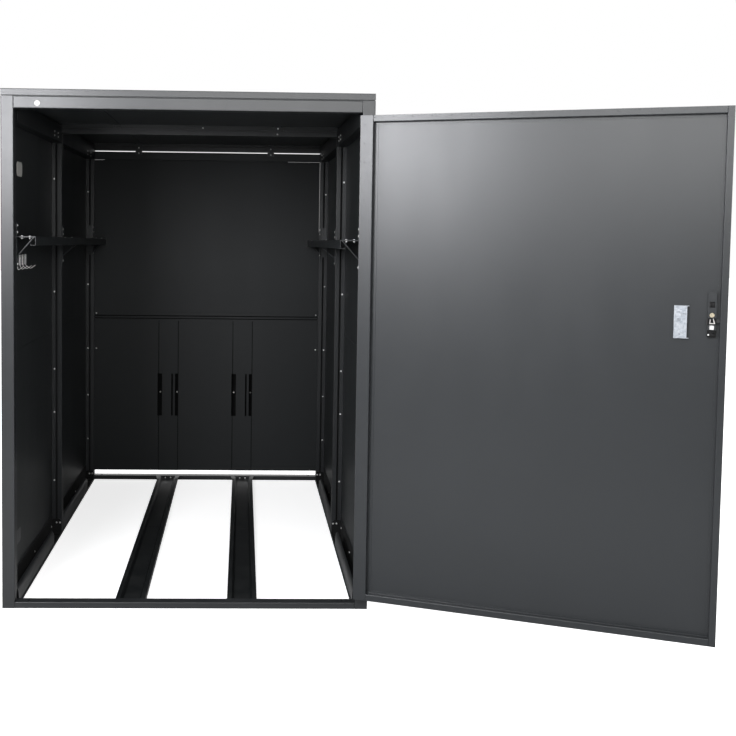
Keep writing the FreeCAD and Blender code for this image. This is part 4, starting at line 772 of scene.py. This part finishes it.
def floor_material(name, low, high, lift):
    mat, tree, shader = new_material(name)
    vector = coords(tree)
    tree.links.new(ramp(tree, noise(tree, vector, 0.8, 3, 0.5), [(0.2, (low, low, low)), (0.8, (high, high, high))]),
                   shader.inputs["Base Color"])
    shader.inputs["Roughness"].default_value = 0.9
    shader.inputs["Specular IOR Level"].default_value = 0.1
    if lift:
        shader.inputs["Emission Color"].default_value = (1, 1, 1, 1)
        shader.inputs["Emission Strength"].default_value = lift
    return mat


# A pale sweep for the eye, and a duller one just under it that bounces the light, so that the pale floor
# doesn't wash out the dark inside of the locker.
seen = plane("floor", [(-30, -30, 0), (30, -30, 0), (30, 30, 0), (-30, 30, 0)],
             floor_material("pale_floor", 0.90, 0.93, 0.72))
seen.visible_diffuse = False
seen.visible_glossy = False
seen.visible_transmission = False
seen.visible_shadow = False
bounce = plane("floor_bounce", [(-30, -30, -0.0006), (30, -30, -0.0006), (30, 30, -0.0006), (-30, 30, -0.0006)],
               floor_material("dull_floor", 0.60, 0.64, 0.0))
bounce.visible_camera = False

world = bpy.data.worlds.new("studio")
bpy.context.scene.world = world
world.use_nodes = True
tree = world.node_tree
background = tree.nodes["Background"]
where = tree.nodes.new("ShaderNodeTexCoord")
split = tree.nodes.new("ShaderNodeSeparateXYZ")
tree.links.new(where.outputs["Generated"], split.inputs["Vector"])
# the room behind the locker is white, the room in front of it greyer
level = span(tree, split.outputs["Y"], FRONT_ROOM, 1.0, -0.15, 0.25)
shade = tree.nodes.new("ShaderNodeCombineColor")
for socket in ("Red", "Green", "Blue"):
    tree.links.new(level, shade.inputs[socket])
tree.links.new(shade.outputs["Color"], background.inputs["Color"])
background.inputs["Strength"].default_value = 1.0


def area(name, at, target, size, power, colour=(1, 1, 1)):
    light = bpy.data.lights.new(name, "AREA")
    light.shape = "RECTANGLE"
    light.size, light.size_y = size
    light.energy = power
    light.color = colour
    obj = bpy.data.objects.new(name, light)
    bpy.context.scene.collection.objects.link(obj)
    obj.location = at
    obj.rotation_euler = (Vector(target) - Vector(at)).to_track_quat("-Z", "Y").to_euler()
    obj.visible_camera = False
    return obj


area("softbox_key", (-1.38, -3.95, 2.08), (0.3, -1.1, 1.6), (0.9, 1.05), 98, (0.98, 0.985, 1.02))
area("softbox_wide", (0.58, -4.15, 2.18), (0.6, -1.1, 1.5), (2.0, 1.1), 47)
area("softbox_top", (0.3, -0.2, 4.6), (0.3, -0.2, 0), (5.5, 5.5), 150)

scene = bpy.context.scene
scene.view_settings.view_transform = "Standard"
yaw, pitch, roll = 0.02708, -0.06239, 0.01169
forward = Vector((math.sin(yaw) * math.cos(pitch), math.cos(yaw) * math.cos(pitch), math.sin(pitch)))
right = Vector((math.cos(yaw), -math.sin(yaw), 0))
up = right.cross(forward)
right_2 = right * math.cos(roll) + up * math.sin(roll)
up_2 = up * math.cos(roll) - right * math.sin(roll)
camera = bpy.data.objects.new("camera", bpy.data.cameras.new("camera"))
scene.collection.objects.link(camera)
camera.data.sensor_fit = "HORIZONTAL"
camera.data.sensor_width = 36
camera.data.lens = 53.488
camera.data.shift_x = 0.1304
camera.data.shift_y = -0.0927
camera.data.clip_end = 200
back = -forward
camera.matrix_world = Matrix((
    (right_2.x, up_2.x, back.x, 0.1926),
    (right_2.y, up_2.y, back.y, -3.8320 - BACK / 1000),
    (right_2.z, up_2.z, back.z, 1.3469),
    (0, 0, 0, 1)))
scene.camera = camera
